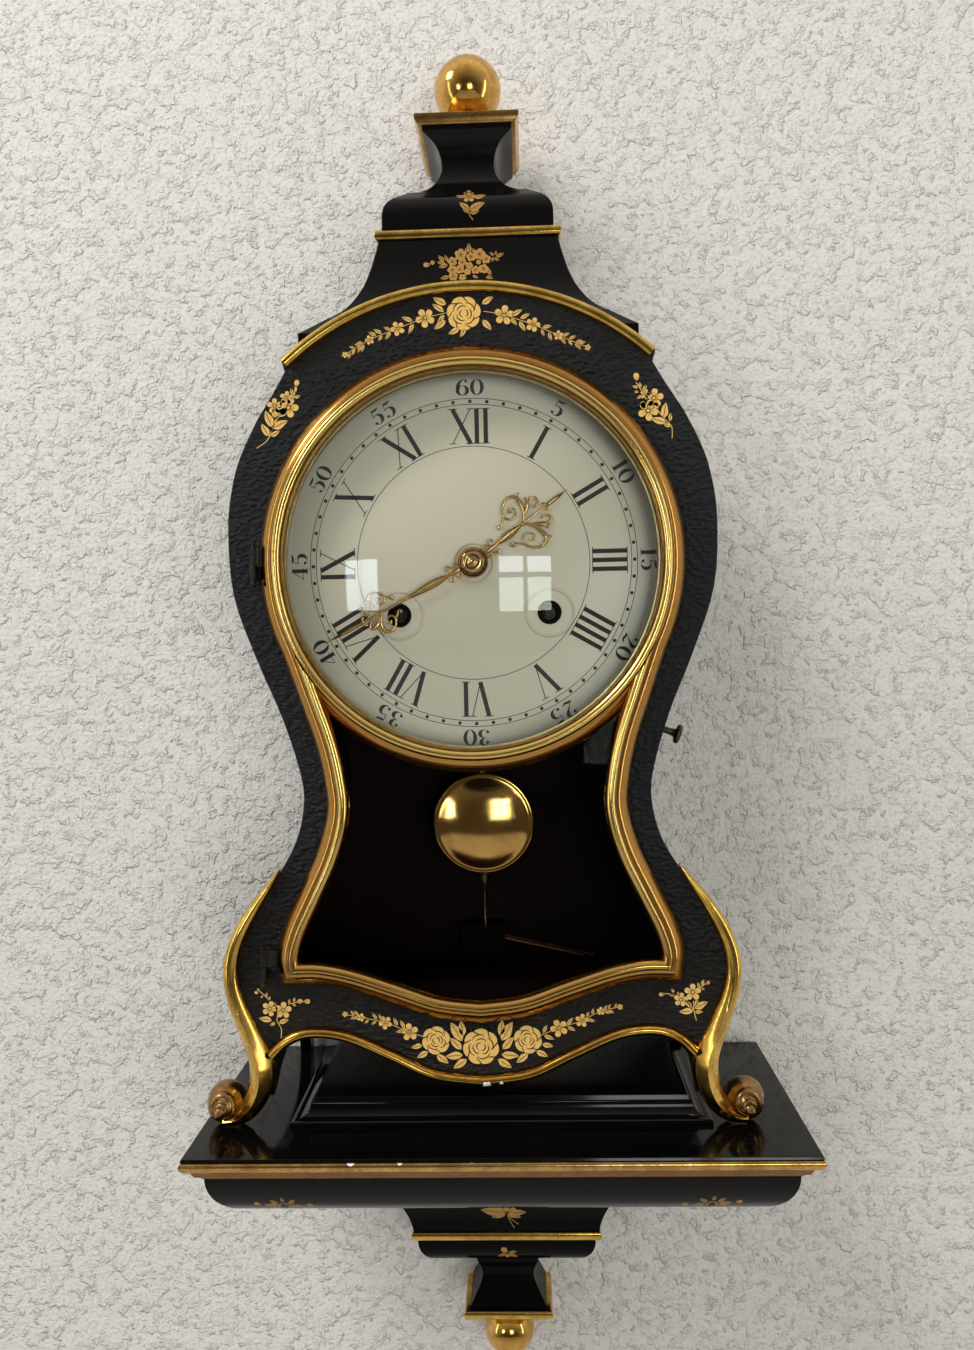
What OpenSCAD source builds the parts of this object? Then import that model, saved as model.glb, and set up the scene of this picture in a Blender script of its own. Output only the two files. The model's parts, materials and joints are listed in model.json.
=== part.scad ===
// Bracket clock: a waisted case on scroll feet, standing on its own wall bracket.
// Millimetres. Wall at Y = 0, front towards -Y, X = 0 on the bracket's axis, +Z up.

/* [Bracket] */
// Height of the shelf's top above the hanging screws
shelf_z = 38; // [30:1:50]
// Half width of the shelf
shelf_half = 143.5; // [120:0.5:170]
// Depth of the shelf from the wall
shelf_depth = 143; // [120:1:170]
// Thickness of the shelf board with its gilt edge
shelf_t = 12; // [11:0.5:16]
// Half distance between the two hanging screws
hang_half = 44; // [30:1:55]
// Radius of a hanging screw's hole
hang_r = 2.25; // [1.5:0.25:3]

/* [Case] */
// How far the clock stands to the left of the bracket's axis
clock_left = 8; // [0:1:15]
// Distance from the wall to the front plate's face
front_d = 108; // [95:1:120]
// Distance from the wall to the back board's rear face
back_d = 3; // [1:1:8]
// Thickness of the front plate
front_t = 6; // [4:0.5:10]
// Thickness of the bent side panels
side_t = 6; // [4:0.5:9]
// Height of the dial's centre above the shelf
dial_z = 267; // [250:1:285]
// Radius of the arch moulding over the dial
arch_r = 127.2; // [120:0.2:135]
// Half angle of the arch moulding
arch_a = 42.4; // [36:0.2:48]
// Projection of the gilt mouldings
gilt_t = 5.2; // [3:0.2:8]

/* [Crown] */
// Half width of the crown's foot
crown_half = 80.5; // [70:0.5:90]
// Radius of the ball on the crown
ball_r = 17.5; // [14:0.5:20]

/* [Door] */
// Radius of the dial opening in the door
sight_r = 88; // [80:1:92]
// Width of the door's gilt moulding
frame_w = 11; // [8:0.5:14]
// Height of the door's gilt moulding
frame_h = 9; // [6:0.5:12]
// Rise of the domed dial glass
dome_rise = 14; // [6:1:20]
// Gap between the door and the case
door_gap = 0.3; // [0.2:0.1:1]
// Distance of the hinge axis from the clock's axis
hinge_x = 102.2; // [101:0.2:104]

/* [Movement] */
// Depth of the dial's face below the front plate's face
dial_set = 17; // [12:1:28]
// Distance of a winding hole from the clock's axis
wind_x = 36.3; // [30:0.1:42]
// Drop of the winding holes below the dial's centre
wind_drop = 24.6; // [15:0.1:30]
// Module of the motion work's teeth
mod_mw = 0.8; // [0.6:0.1:1]
// Play on each tooth's flank
backlash = 0.09; // [0.05:0.01:0.15]

/* [Pendulum] */
// Height of the pendulum's pivot above the dial's centre
pivot_up = 34; // [20:1:50]
// Distance from the pivot to the bob's centre
bob_drop = 169; // [140:1:190]
// Radius of the bob
bob_r = 27.5; // [20:0.5:32]
// Distance of the pendulum's plane behind the movement's back plate
pend_gap = 10; // [8:0.5:12]

/* [View] */
// Which node to draw

/* [Hidden] */
$fn = 72;
run_clear = 0.05;
body_gap = 0.3;
half_round_n = 8;
dial_d = front_d - dial_set;
mp_front = dial_d - 12;
mp_back = dial_d - 47;
pend_d = mp_back - pend_gap;

black = [0.05, 0.05, 0.06];
gilt = [0.80, 0.60, 0.22];
brass = [0.78, 0.62, 0.30];
steel = [0.62, 0.63, 0.66];
cream = [0.93, 0.91, 0.84];
clear = [0.80, 0.88, 0.90, 0.3];
redwood = [0.22, 0.08, 0.06];

// Curves through a few points
function cr(a, b, c, d, t) = 0.5 * (2 * b + (c - a) * t + (2 * a - 5 * b + 4 * c - d) * t * t
  + (3 * b - a - 3 * c + d) * t * t * t);
function last(P) = P[len(P) - 1];
function spline(P, n) = concat([for (i = [0 : len(P) - 2]) for (k = [0 : n - 1])
  cr(P[max(i - 1, 0)], P[i], P[i + 1], P[min(i + 2, len(P) - 1)], k / n)], [last(P)]);
function flip(P) = [for (i = [len(P) - 1 : -1 : 0]) [-P[i][0], P[i][1]]];
function back(P) = [for (i = [len(P) - 1 : -1 : 0]) P[i]];
function unit(v) = v / norm(v);
function left_of(v) = [-v[1], v[0]];
function seg_n(P, i) = left_of(unit(P[min(i + 1, len(P) - 1)] - P[min(i, len(P) - 2)]));
function mitre(P, i) = let (a = seg_n(P, max(i - 1, 0)), b = seg_n(P, i), m = unit(a + b)) m / (m * a);
function shift(P, w) = [for (i = [0 : len(P) - 1]) P[i] + w * mitre(P, i)];
function arc(c, r, a0, a1, n) = [for (i = [0 : n]) let (a = a0 + (a1 - a0) * i / n) c + r * [sin(a), cos(a)]];

// Puts a front view outline upright, from depth d outwards by t
module slab(d, t) {
  translate([0, -d, 0])
    rotate([90, 0, 0])
      linear_extrude(t)
        children();
}

// Puts a side view outline, depth and height, across the width
module across(half) {
  translate([-half, 0, 0])
    rotate([90, 0, 90])
      linear_extrude(2 * half)
        mirror([1, 0])
          children();
}

// A block whose front and side views are both outlines, with mitred corners
module moulded(front, side, half, deep) {
  intersection() {
    slab(0, deep)
      polygon(concat(front, flip(front)));
    across(half)
      polygon(side);
  }
}

// A moulding swept along a front view path: P path, prof rows of [across, out], one width factor a point
module sweep(P, prof, f, d) {
  n = len(P);
  m = len(prof);
  pts = [for (i = [0 : n - 1]) let (s = mitre(P, i)) for (q = prof)
    let (p = P[i] + s * q[0] * f[i]) [p[0], -(d + q[1] * min(1, 0.35 + 0.65 * f[i])), p[1]]];
  sides = [for (i = [0 : n - 2]) for (j = [0 : m - 1]) for (h = [0, 1])
    let (a = i * m + j, b = i * m + (j + 1) % m)
      h == 0 ? [a, b, b + m] : [a, b + m, a + m]];
  ends = [[for (j = [m - 1 : -1 : 0]) j], [for (j = [0 : m - 1]) (n - 1) * m + j]];
  polyhedron(pts, concat(sides, ends), convexity = 6);
}

module on_clock() {
  translate([-clock_left, 0, shelf_z])
    children();
}

module at_dial(d) {
  translate([-clock_left, -d, shelf_z + dial_z])
    rotate([90, 0, 0])
      children();
}

// Outlines of the case, from the clock's axis and the shelf's top
waist_pts = [[99.6, 334.6], [106.6, 320.6], [111.4, 306.6], [114.4, 285], [112.6, 253], [102.4, 222.4],
  [90.9, 194.4], [83, 168], [81.9, 153], [86, 136], [96, 118.5], [108, 103], [116.5, 89], [120, 75],
  [118.8, 61], [113.2, 46], [109, 33], [109.6, 21], [112, 12]];
shoulder_pts = [[85.8, 357], [91, 348]];
arch_w = 5.4;
surround_out = 98.5;
floor_z = 46;
floor_t = 5;
plinth_foot = 100;
plinth_d = front_d + 1;
plinth_h = 12;
top_z = 360;
waist = concat(shoulder_pts, spline(waist_pts, 4));
leg_inner_pts = [[106, 12], [103.5, 20], [101, 28], [99.5, 33]];
apron_pts = [[99.5, 33], [93, 39.6], [81, 44], [64, 42], [42.5, 32.4], [22.4, 23.2], [0, 20.2]];
apron = spline(apron_pts, 5);
plate_r = arch_r + arch_w / 2 - 0.4;
plate_half = concat(arc([0, dial_z], plate_r, 0, arch_a, 16), waist, leg_inner_pts, apron);
dial_c = [0, dial_z];

// The door's lower frame along its middle line, from the dial ring to the lowest point
// It leaves the ring along the ring's own direction
ring_out = sight_r + frame_w;
frame_lead = arc(dial_c, sight_r + frame_w / 2, 108, 115, 1);
frame_side_pts = [[75.9, 202], [69.6, 183], [66, 166], [65, 150], [70, 130.5], [79, 111], [86.6, 95],
  [90, 83], [89, 74.6]];
frame_foot_pts = [[89, 74.6], [76, 74.6], [61, 71.6], [41, 65], [20.5, 58], [0, 55.4]];
frame_side = spline(concat(frame_lead, frame_side_pts), 4);
frame_foot = spline(frame_foot_pts, 4);
frame_path = concat([for (i = [4 : len(frame_side) - 1]) frame_side[i]],
  [for (i = [1 : len(frame_foot) - 1]) frame_foot[i]]);
frame_line = concat(frame_path, [for (i = [1 : len(frame_path) - 1]) flip(frame_path)[i]]);

// Moulding sections: across from the inner edge, out from the back
rebate_w = 3;
rebate_t = 3.4;
frame_prof = [[rebate_w, 0], [rebate_w, rebate_t], [0, rebate_t], [0, 5.4], [0.8, 7.5], [2.1, 8.7], [3.3, frame_h],
  [4.5, 8.4], [5.3, 7], [6, 6.8], [8.6, 4.8], [frame_w, 2.4], [frame_w, 0]];
half_round = [for (i = [0 : half_round_n]) let (a = 180 * i / half_round_n) [-cos(a), gilt_t * sin(a)]];

// Bracket

module shelf_block(z0, z1, in) {
  translate([-(shelf_half - in), -(shelf_depth - in), shelf_z + z0])
    cube([2 * (shelf_half - in), shelf_depth - in, z1 - z0]);
}

edge_w = 9;
edge_top = 1;
edge_prof = [[0, -edge_top], [6, -edge_top], [8.3, -2], [edge_w, -3.6], [8.3, -5.4], [6.6, -6.8], [4.4, -8.2],
  [3.6, -9.6], [3.2, -shelf_t], [0, -shelf_t]];

module shelf_board() {
  color(black)
    union() {
      shelf_block(-shelf_t, 0, edge_w);
      shelf_block(-edge_top, 0, edge_top);
    }
}

module shelf_gilt_edge() {
  front = [for (q = edge_prof) [shelf_half - edge_w + q[0], shelf_z + q[1]]];
  side = [for (q = edge_prof) [shelf_depth - edge_w + q[0], shelf_z + q[1]]];
  color(gilt)
    difference() {
      moulded(front, concat([[0, shelf_z - shelf_t], [0, shelf_z - edge_top]], side),
        shelf_half + 1, shelf_depth + 1);
      translate([-(shelf_half - edge_w), -(shelf_depth - edge_w), shelf_z - shelf_t - 1])
        cube([2 * (shelf_half - edge_w), shelf_depth, shelf_t + 2]);
    }
}

plinth_back = 12;
plinth_share = 0.6;

module shelf_plinth() {
  edge = concat([[0, 0], [0, 2]], [for (i = [0 : 6]) let (a = 15 * i) [-1 - 8 * sin(a), 2.5 + 7 * (1 - cos(a))]],
    [[-10, 9.5], [-11, plinth_h]]);
  front = [for (q = edge) [plinth_foot + q[0], shelf_z + q[1]]];
  side = concat([for (q = edge) [plinth_d + q[0] * plinth_share, shelf_z + q[1]]],
    [[plinth_back, shelf_z + plinth_h], [plinth_back, shelf_z]]);
  color(black)
    moulded(front, side, plinth_foot, plinth_d);
}

bowl_in = 9;
bowl_h = 24;
bowl_round = 26;

module bracket_bowl() {
  edge = [for (i = [0 : 8]) let (a = 90 * i / 8) [-bowl_round * (1 - cos(a)), -shelf_t - bowl_h * sin(a)]];
  front = [for (q = edge) [shelf_half - bowl_in + q[0], shelf_z + q[1]]];
  side = concat([for (q = edge) [shelf_depth - bowl_in + q[0], shelf_z + q[1]]],
    [[0, shelf_z - shelf_t - bowl_h], [0, shelf_z - shelf_t]]);
  color(black)
    difference() {
      moulded(front, side, shelf_half, shelf_depth);
      hanger_pockets();
    }
}

bowl_z = -shelf_t - bowl_h;
corbel_end = -82;
corbel_half = 84;
corbel_pts = [[corbel_half, bowl_z], [73, -42], [61, -54], [54.5, -66], [51, -74], [49.4, -80], [49.2, corbel_end]];
pocket_w = 16;
pocket_h = 30;
pocket_t = 8;

module hanger_spots() {
  for (s = [-1, 1])
    translate([s * hang_half, 0, 0])
      children();
}

module hanger_pockets() {
  hanger_spots()
    translate([-pocket_w / 2, -pocket_t, -pocket_h / 2])
      cube([pocket_w, pocket_t + 1, pocket_h]);
}

module bracket_corbel() {
  edge = spline(corbel_pts, 4);
  front = [for (q = edge) [q[0], shelf_z + q[1]]];
  side = concat(front, [[0, shelf_z + corbel_end], [0, shelf_z + bowl_z]]);
  color(black)
    difference() {
      moulded(front, side, corbel_half, corbel_half);
      hanger_pockets();
    }
}

plate_t = 2;

module hanger_plates() {
  color(steel)
    hanger_spots()
      difference() {
        translate([-pocket_w / 2, -plate_t, -pocket_h / 2])
          cube([pocket_w, plate_t, pocket_h]);
        rotate([90, 0, 0])
          translate([0, 0, -1])
            cylinder(r = hang_r, h = plate_t + 2);
      }
}

bead_h = 5;
bead_half = 48.6;
bead_out = 1.5;

module square_bead(half, deep, z, h, out) {
  edge = concat([[0, 0]], [for (i = [0 : 6]) let (a = 180 * i / 6) [out * sin(a), h / 2 - h / 2 * cos(a)]], [[0, h]]);
  front = [for (q = edge) [half + q[0], z + q[1]]];
  side = concat([for (q = edge) [deep + q[0], z + q[1]]], [[0, z + h], [0, z]]);
  moulded(front, side, half + out, deep + out);
}

module bracket_bead() {
  color(gilt)
    square_bead(bead_half, bead_half, shelf_z + corbel_end - bead_h, bead_h, bead_out);
}

cup_h = 17;
cup_half = bead_half - bead_out;
cup_round = 16;

module bracket_cup() {
  z = shelf_z + corbel_end - bead_h;
  edge = concat([[0, 0]], [for (i = [0 : 6]) let (a = 90 * i / 6)
    [-cup_round * (1 - cos(a)), -1 - (cup_h - 1) * sin(a)]]);
  front = [for (q = edge) [cup_half + q[0], z + q[1]]];
  side = concat(front, [[0, z - cup_h], [0, z]]);
  color(black)
    moulded(front, side, cup_half + 1, cup_half + 1);
}

pend_half = 22.5;
pend_deep = 36;
pend_h = 28;
pend_foot = pend_half - 1.9;
pend_pts = [[17.3, 0], [16.6, -4], [14.6, -9], [14, -14], [15.5, -18], [18.3, -23], [pend_foot, -27],
  [pend_foot, -pend_h]];

module bracket_pendant() {
  z = shelf_z + corbel_end - bead_h - cup_h;
  edge = spline(pend_pts, 4);
  front = [for (q = edge) [q[0], z + q[1]]];
  side = concat([for (q = edge) [q[0] + pend_deep - pend_half, z + q[1]]], [[0, z - pend_h], [0, z]]);
  color(black)
    moulded(front, side, pend_half, pend_deep);
}

pend_edge_h = 5;
low_z = shelf_z + corbel_end - bead_h - cup_h - pend_h - pend_edge_h;

module pendant_gilt_edge() {
  color(gilt)
    square_bead(pend_half, pend_deep, low_z, pend_edge_h, bead_out);
}

low_ball_r = 13.6;
low_ball_d = 20;
low_neck_r = 8;
low_neck_h = 2;

module bracket_ball() {
  color(gilt)
    translate([0, -low_ball_d, low_z]) {
      translate([0, 0, -low_neck_h])
        cylinder(r = low_neck_r, h = low_neck_h);
      translate([0, 0, 0.5 - low_neck_h - low_ball_r])
        difference() {
          sphere(r = low_ball_r);
          translate([-low_ball_r, -low_ball_r, low_ball_r - 0.1])
            cube([2 * low_ball_r, 2 * low_ball_r, 4]);
        }
    }
}

// Case

window_in = concat(arc(dial_c, ring_out - 3, 180, 146, 10), [for (i = [3 : len(frame_path) - 1]) frame_path[i]]);
surround_in = sight_r + 3;

module front_plate() {
  color(black)
    on_clock()
      difference() {
        slab(front_d - front_t, front_t)
          polygon(concat(plate_half, flip(plate_half)));
        slab(front_d - front_t - 1, front_t + 2)
          translate([0, dial_z])
            circle(r = surround_in);
        slab(front_d - front_t - 1, front_t + 2)
          polygon(concat(window_in, flip(window_in)));
      }
}

side_foot_x = 107.6;
side_top_x = 84;
side_foot_pts = [[side_foot_x, 20], [side_foot_x, 9], [side_foot_x, 0]];
side_outer = concat([[side_top_x, top_z], shoulder_pts[1]],
  spline(concat([for (i = [0 : 16]) waist_pts[i]], side_foot_pts), 4));
side_in = 0.8;
foot_back = 11;
foot_clear = 0.6;
side_scallop_pts = [[foot_back, 0], [foot_back + 3, 10], [26, 21], [52, 26], [front_d - 27, 22], [front_d - 12, 15],
  [front_d - front_t + 1, plinth_h + foot_clear]];

module side_panel() {
  outer = shift(side_outer, -side_in);
  inner = shift(side_outer, -side_in - side_t);
  difference() {
    slab(back_d, front_d - front_t - back_d)
      polygon(concat(outer, back(inner)));
    across(shelf_half)
      polygon(concat(spline(side_scallop_pts, 5), [[last(side_scallop_pts)[0], -1], [foot_back, -1]]));
  }
}

module side_panel_left() {
  color(black)
    on_clock()
      mirror([1, 0, 0])
        side_panel();
}

module side_panel_right() {
  color(black)
    on_clock()
      difference() {
        side_panel();
        latch_line()
          cylinder(r = latch_hole_r, h = 40, center = true);
      }
}

back_line = shift(side_outer, -side_in - side_t - body_gap / 3);
back_half = [for (q = back_line) if (q[1] > floor_z) q];
back_t = 5;

module back_board() {
  pts = concat([[0, top_z], [side_top_x - 1 - side_t, top_z]], [for (q = back_half) if (q[1] < top_z - 3) q],
    [[last(back_half)[0], floor_z + floor_t], [0, floor_z + floor_t]]);
  color(redwood)
    on_clock()
      slab(back_d, back_t)
        polygon(concat(pts, flip(pts)));
}

module floor_board() {
  half = min([for (q = back_line) if (abs(q[1] - floor_z - floor_t / 2) < floor_t) q[0]]);
  color(redwood)
    on_clock()
      translate([-half, -(front_d - front_t), floor_z])
        cube([2 * half, front_d - front_t - back_d, floor_t]);
}

top_t = 9;
dial_t = 1.2;

module top_board() {
  color(black)
    on_clock()
      difference() {
        translate([-crown_half, -(front_d - front_t), top_z])
          cube([2 * crown_half, front_d - front_t - back_d, top_t]);
        slab(dial_d - dial_t - body_gap, front_d)
          translate([0, dial_z])
            circle(r = surround_out + body_gap / 3);
      }
}

// Crown: one curve of half width and height gives the front view, and a shallower one the side view

crown_z = top_z + top_t;
crown_h = 58.5;
crown_top = crown_z + crown_h;
crown_top_half = 44.2;
crown_pts = [[crown_half, 7.5], [70, 15], [60, 22.5], [53, 32], [49, 41], [46.3, 50], [crown_top_half, crown_h]];
crown_bead_h = 5;
crown_bead_half = crown_top_half + 0.2;
depth_share = 0.667;
vault_t = 18;
vault_half = 72;
vault_a = 34;
vault_drop = 1.5;
vault_clear = 3;
function raised(P, z) = [for (q = P) [q[0], z + q[1]]];
function crown_depth(h) = front_d - front_t - (crown_half - h) * depth_share;

module crown_part(P) {
  on_clock() {
    side = concat([for (q = P) [crown_depth(q[0]), q[1]]], [[back_d, last(P)[1]], [back_d, P[0][1]]]);
    moulded(P, side, crown_half + 5, front_d);
  }
}

module crown_skirt() {
  vault = concat(arc(dial_c, plate_r - vault_drop, vault_a / 24, vault_a, 12),
    [[vault_half, crown_z + vault_clear]]);
  color(black) {
    crown_part(raised(concat([[crown_half, 0]], spline(crown_pts, 4)), crown_z));
    on_clock()
      slab(front_d - front_t - vault_t, vault_t - 0.1)
        polygon(concat(vault, flip(vault)));
  }
}

module crown_bead() {
  color(gilt)
    translate([0, -back_d, 0])
      on_clock()
        square_bead(crown_bead_half, crown_depth(crown_bead_half) - back_d, crown_top, crown_bead_h, 1.6);
}

cap_z = crown_top + crown_bead_h;
cap_half = crown_bead_half - 2;
cap_low = [[cap_half, 0], [cap_half, 7.5], [41.6, 12], [38.5, 16.5], [32.8, 20.1], [30.5, 21.7]];
cap_high = [[30.5, 21.7], [24.5, 23.7], [19.6, 26.9], [15.4, 32], [13.4, 38.5], [14.2, 45], [17.2, 50.5], [22.6, 54.9]];
cap_h = 57;
cap_top = cap_z + cap_h;

module crown_cap() {
  color(black)
    crown_part(raised(concat(spline(cap_low, 3), spline(cap_high, 4), [[22.8, cap_h]]), cap_z));
}

abacus_h = 5.6;
abacus_half = 26.4;

module crown_abacus() {
  color(gilt)
    crown_part([[abacus_half - 2, cap_top], [abacus_half - 1.2, cap_top + 1], [abacus_half, cap_top + 3.4],
      [abacus_half, cap_top + abacus_h]]);
}

ball_d = 40;
ball_neck = 5.6;
ball_neck_r = 9;

module crown_ball() {
  color(gilt)
    on_clock()
      translate([0, -ball_d, cap_top + abacus_h]) {
        cylinder(r1 = ball_neck_r, r2 = ball_neck_r - 2.5, h = ball_neck + 1.5);
        translate([0, 0, ball_neck + ball_r])
          sphere(r = ball_r);
      }
}

// Gilt mouldings on the front plate

module arch_moulding() {
  color(gilt)
    at_dial(front_d)
      rotate([0, 0, 90 - arch_a])
        rotate_extrude(angle = 2 * arch_a)
          intersection() {
            translate([arch_r, 0])
              scale([1, 1.1])
                circle(r = arch_w / 2, $fn = 24);
            translate([arch_r - arch_w, 0])
              square([2 * arch_w, arch_w]);
          }
}

leg_pts = [[94, 123], [99.4, 115], [106.2, 105.4], [113, 94], [117.4, 82.4], [118.3, 70.4], [115.6, 58.6],
  [110.4, 45.5], [106.6, 36], [105, 28], [106, 19.5], [109, 12.4], [113.4, 7]];
leg_w = [0.8, 3.4, 5.4, 7, 7.6, 8, 8.8, 10.2, 11.6, 12.4, 11.8, 11, 9.6];
leg_full = 12;
scroll_x = 123.6;
scroll_z = 10.2;
scroll_r = 10;
scroll_back = front_d - 10;

module leg_moulding() {
  P = spline(leg_pts, 4);
  f = [for (i = [0 : len(P) - 1]) let (k = floor(i / 4), t = i / 4 - k)
    (leg_w[k] + (leg_w[min(k + 1, len(leg_w) - 1)] - leg_w[k]) * t) / leg_full];
  prof = [for (q = half_round) [leg_full / 2 * q[0], q[1] * 1.15]];
  difference() {
    sweep(P, prof, f, front_d);
    translate([scroll_x, -front_d + 1, scroll_z])
      rotate([90, 0, 0])
        cylinder(r = scroll_r, h = 20);
  }
}

module leg_moulding_right() {
  color(gilt)
    on_clock()
      leg_moulding();
}

module leg_moulding_left() {
  color(gilt)
    on_clock()
      mirror([1, 0, 0])
        leg_moulding();
}

whorl = [[0, 0], [scroll_r, 0], [scroll_r, 10], [9.3, 12.6], [7.6, 13.6], [7.3, 13.4], [7.1, 15.2], [5.6, 16.8], [5.2, 16.6],
  [4.9, 18.2], [3.6, 19.4], [3.3, 19.2], [2.6, 21.4], [1.2, 22.6], [0, 22.8]];

toe_pts = [[-17.4, 11.8], [-12, 11.8], [-9.6, 10], [0, scroll_z], [0, 0], [-6.6, 0], [-12.1, 3.4]];
sole_pts = [[-7, 2.6], [0, scroll_z], [3, 0], [-4.6, 0]];

module foot_scroll() {
  translate([scroll_x, -scroll_back, scroll_z])
    rotate([90, 0, 0])
      rotate_extrude()
        polygon(whorl);
  slab(front_d - front_t, front_t)
    polygon([for (q = toe_pts) [scroll_x, 0] + q]);
  slab(scroll_back, front_d + gilt_t - scroll_back - 1)
    polygon([for (q = sole_pts) [scroll_x, 0] + q]);
}

module foot_scroll_right() {
  color(gilt)
    on_clock()
      foot_scroll();
}

module foot_scroll_left() {
  color(gilt)
    on_clock()
      mirror([1, 0, 0])
        foot_scroll();
}

apron_w = 5.4;
apron_mid_pts = [[99.8, 34.6], [92.4, 41.6], [81, 45.4], [64, 43.4], [42.5, 34], [22.4, 24.8], [0, 21.8]];

module apron_moulding() {
  half = spline(apron_mid_pts, 4);
  P = concat(half, [for (i = [1 : len(half) - 1]) flip(half)[i]]);
  color(gilt)
    on_clock()
      sweep(back(P), [for (q = half_round) [apron_w / 2 * q[0], q[1] * 0.8]], [for (p = P) 1], front_d);
}

// Hinge: the pins stand on leaves let on to the front plate, the door's knuckles turn on them

hinge_d = front_d + 4;
pin_r = 0.8;
knuckle_r = 1.5;
knuckle_h = 8;
pin_foot = 7;
finial_r = 1.5;
// Each hinge: height, and how far the door's leaf reaches in to the frame
hinges = [[267, hinge_x - ring_out + 0.8], [78, hinge_x - frame_side_pts[7][0] - frame_w / 2]];

module hinge_line(z) {
  translate([-hinge_x, -hinge_d, z])
    children();
}

module hinge_pins() {
  color(brass)
    on_clock()
      for (h = hinges)
        hinge_line(h[0]) {
          translate([0, 0, -pin_foot])
            cylinder(r = knuckle_r, h = pin_foot - body_gap);
          translate([0, 0, -pin_foot])
            cylinder(r = pin_r, h = pin_foot + knuckle_h + 1.5);
          translate([0, 0, -pin_foot - finial_r - 0.6])
            sphere(r = finial_r, $fn = 24);
          translate([0, 0, -pin_foot - finial_r - 0.6])
            cylinder(r = pin_r, h = 3);
          translate([-0.9, 0, -pin_foot])
            cube([1.8, hinge_d - front_d, pin_foot - body_gap]);
        }
}

module door_knuckles() {
  color(brass)
    on_clock()
      for (h = hinges)
        difference() {
          hinge_line(h[0])
            difference() {
              union() {
                cylinder(r = knuckle_r, h = knuckle_h);
                translate([0, -0.7, 0])
                  cube([h[1], 1.4, knuckle_h]);
              }
              translate([0, 0, -1])
                cylinder(r = pin_r + run_clear, h = knuckle_h + 2);
            }
          translate([0, -door_d, dial_z])
            rotate([90, 0, 0])
              cylinder(r = ring_out, h = frame_h);
        }
}

// Door

door_d = front_d + door_gap;

module door_ring_solid(prof) {
  translate([0, -door_d, dial_z])
    rotate([90, 0, 0])
      rotate_extrude($fn = 96)
        polygon([for (q = prof) [sight_r + q[0], q[1]]]);
}

module door_foot_solid() {
  f = [for (p = frame_line) 1];
  difference() {
    sweep(frame_line, [for (q = frame_prof) [q[0] - frame_w / 2, q[1]]], f, door_d);
    translate([0, -door_d + 1, dial_z])
      rotate([90, 0, 0])
        cylinder(r = sight_r + frame_w / 2, h = frame_h + 2);
  }
}

module door_solid() {
  door_ring_solid(frame_prof);
  door_foot_solid();
}

module door_frame() {
  color(gilt)
    on_clock()
      door_solid();
}

glass_t = 2;
glass_r = sight_r + rebate_w - 0.2;
dome_r = sight_r - 0.4;
dome_out = (pow(dome_r, 2) + pow(dome_rise, 2)) / (2 * dome_rise);
glass_d = door_d + rebate_t - glass_t;

module dial_glass() {
  n = 12;
  a = asin(dome_r / dome_out);
  dome = [for (i = [0 : n]) let (t = a * i / n) [dome_out * sin(t), dome_out * cos(t) - dome_out + dome_rise]];
  curve = concat(dome, [[glass_r, 0]]);
  color(clear)
    at_dial(glass_d)
      rotate_extrude($fn = 96)
        polygon(concat(curve, [for (q = back(curve)) q + [0, glass_t]]));
}

module glass_ring() {
  color(brass)
    at_dial(door_d)
      difference() {
        cylinder(r = glass_r, h = rebate_t - glass_t);
        translate([0, 0, -1])
          cylinder(r = sight_r - 1, h = 4);
      }
}

pane_d = door_d + rebate_t - glass_t;
pane_path = shift(frame_line, -(frame_w / 2 - rebate_w + 0.2));

module lower_glass() {
  edge = [for (p = pane_path) if (norm(p - dial_c) > ring_out + 0.4) p];
  color(clear)
    on_clock()
      slab(pane_d, glass_t)
        polygon(concat(edge, arc(dial_c, ring_out + 0.1, 226, 134, 24)));
}

// Latch knob, square to the bent side panel

latch_at = [87.4, 186];
latch_a = 20;
latch_d = front_d - 14;
latch_r = 1.6;
latch_hole_r = 2.6;
latch_in = 13;
latch_out = 8.5;

module latch_line() {
  translate([latch_at[0], -latch_d, latch_at[1]])
    rotate([0, 90 + latch_a, 0])
      children();
}

module latch_bush() {
  color(brass)
    on_clock()
      latch_line()
        difference() {
          union() {
            translate([0, 0, -side_t - 2])
              cylinder(r = latch_hole_r, h = side_t + 2.6);
            translate([0, 0, 0.2])
              cylinder(r = latch_r + 2.8, h = 1);
          }
          translate([0, 0, -20])
            cylinder(r = latch_r + run_clear, h = 40);
        }
}

module latch_knob() {
  color(steel)
    on_clock()
      latch_line() {
        translate([0, 0, -latch_in])
          cylinder(r = latch_r, h = latch_in + latch_out + 0.5);
        translate([0, 0, latch_out])
          cylinder(r = 4.7, h = 2.4);
        translate([0, 0, -side_t - 2 - body_gap - 1.4])
          cylinder(r = 3.2, h = 1.4);
      }
}

// Dial and movement

dial_r = 97;
hour_hole_r = 5.2;
wind_hole_r = 4.9;

module dial_surround() {
  color(black)
    at_dial(dial_d)
      difference() {
        cylinder(r = surround_out, h = front_d - front_t - dial_d);
        translate([0, 0, -1])
          cylinder(r = surround_in, h = 30);
      }
}

module wind_spots() {
  for (s = [-1, 1])
    translate([s * wind_x, -wind_drop, 0])
      children();
}

module dial() {
  color(cream)
    at_dial(dial_d - dial_t)
      difference() {
        cylinder(r = dial_r, h = dial_t);
        translate([0, 0, -1])
          cylinder(r = hour_hole_r, h = 4);
        wind_spots()
          translate([0, 0, -1])
            cylinder(r = wind_hole_r, h = 4);
      }
}

mp_t = 2;
mp_drop = 4;
mp_w = 112;
mp_h = 118;
pillar_x = 50;
pillar_z = 50;
centre_r = 1.6;
cannon_r = 2.1;
hour_pipe_r = 2.7;

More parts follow.
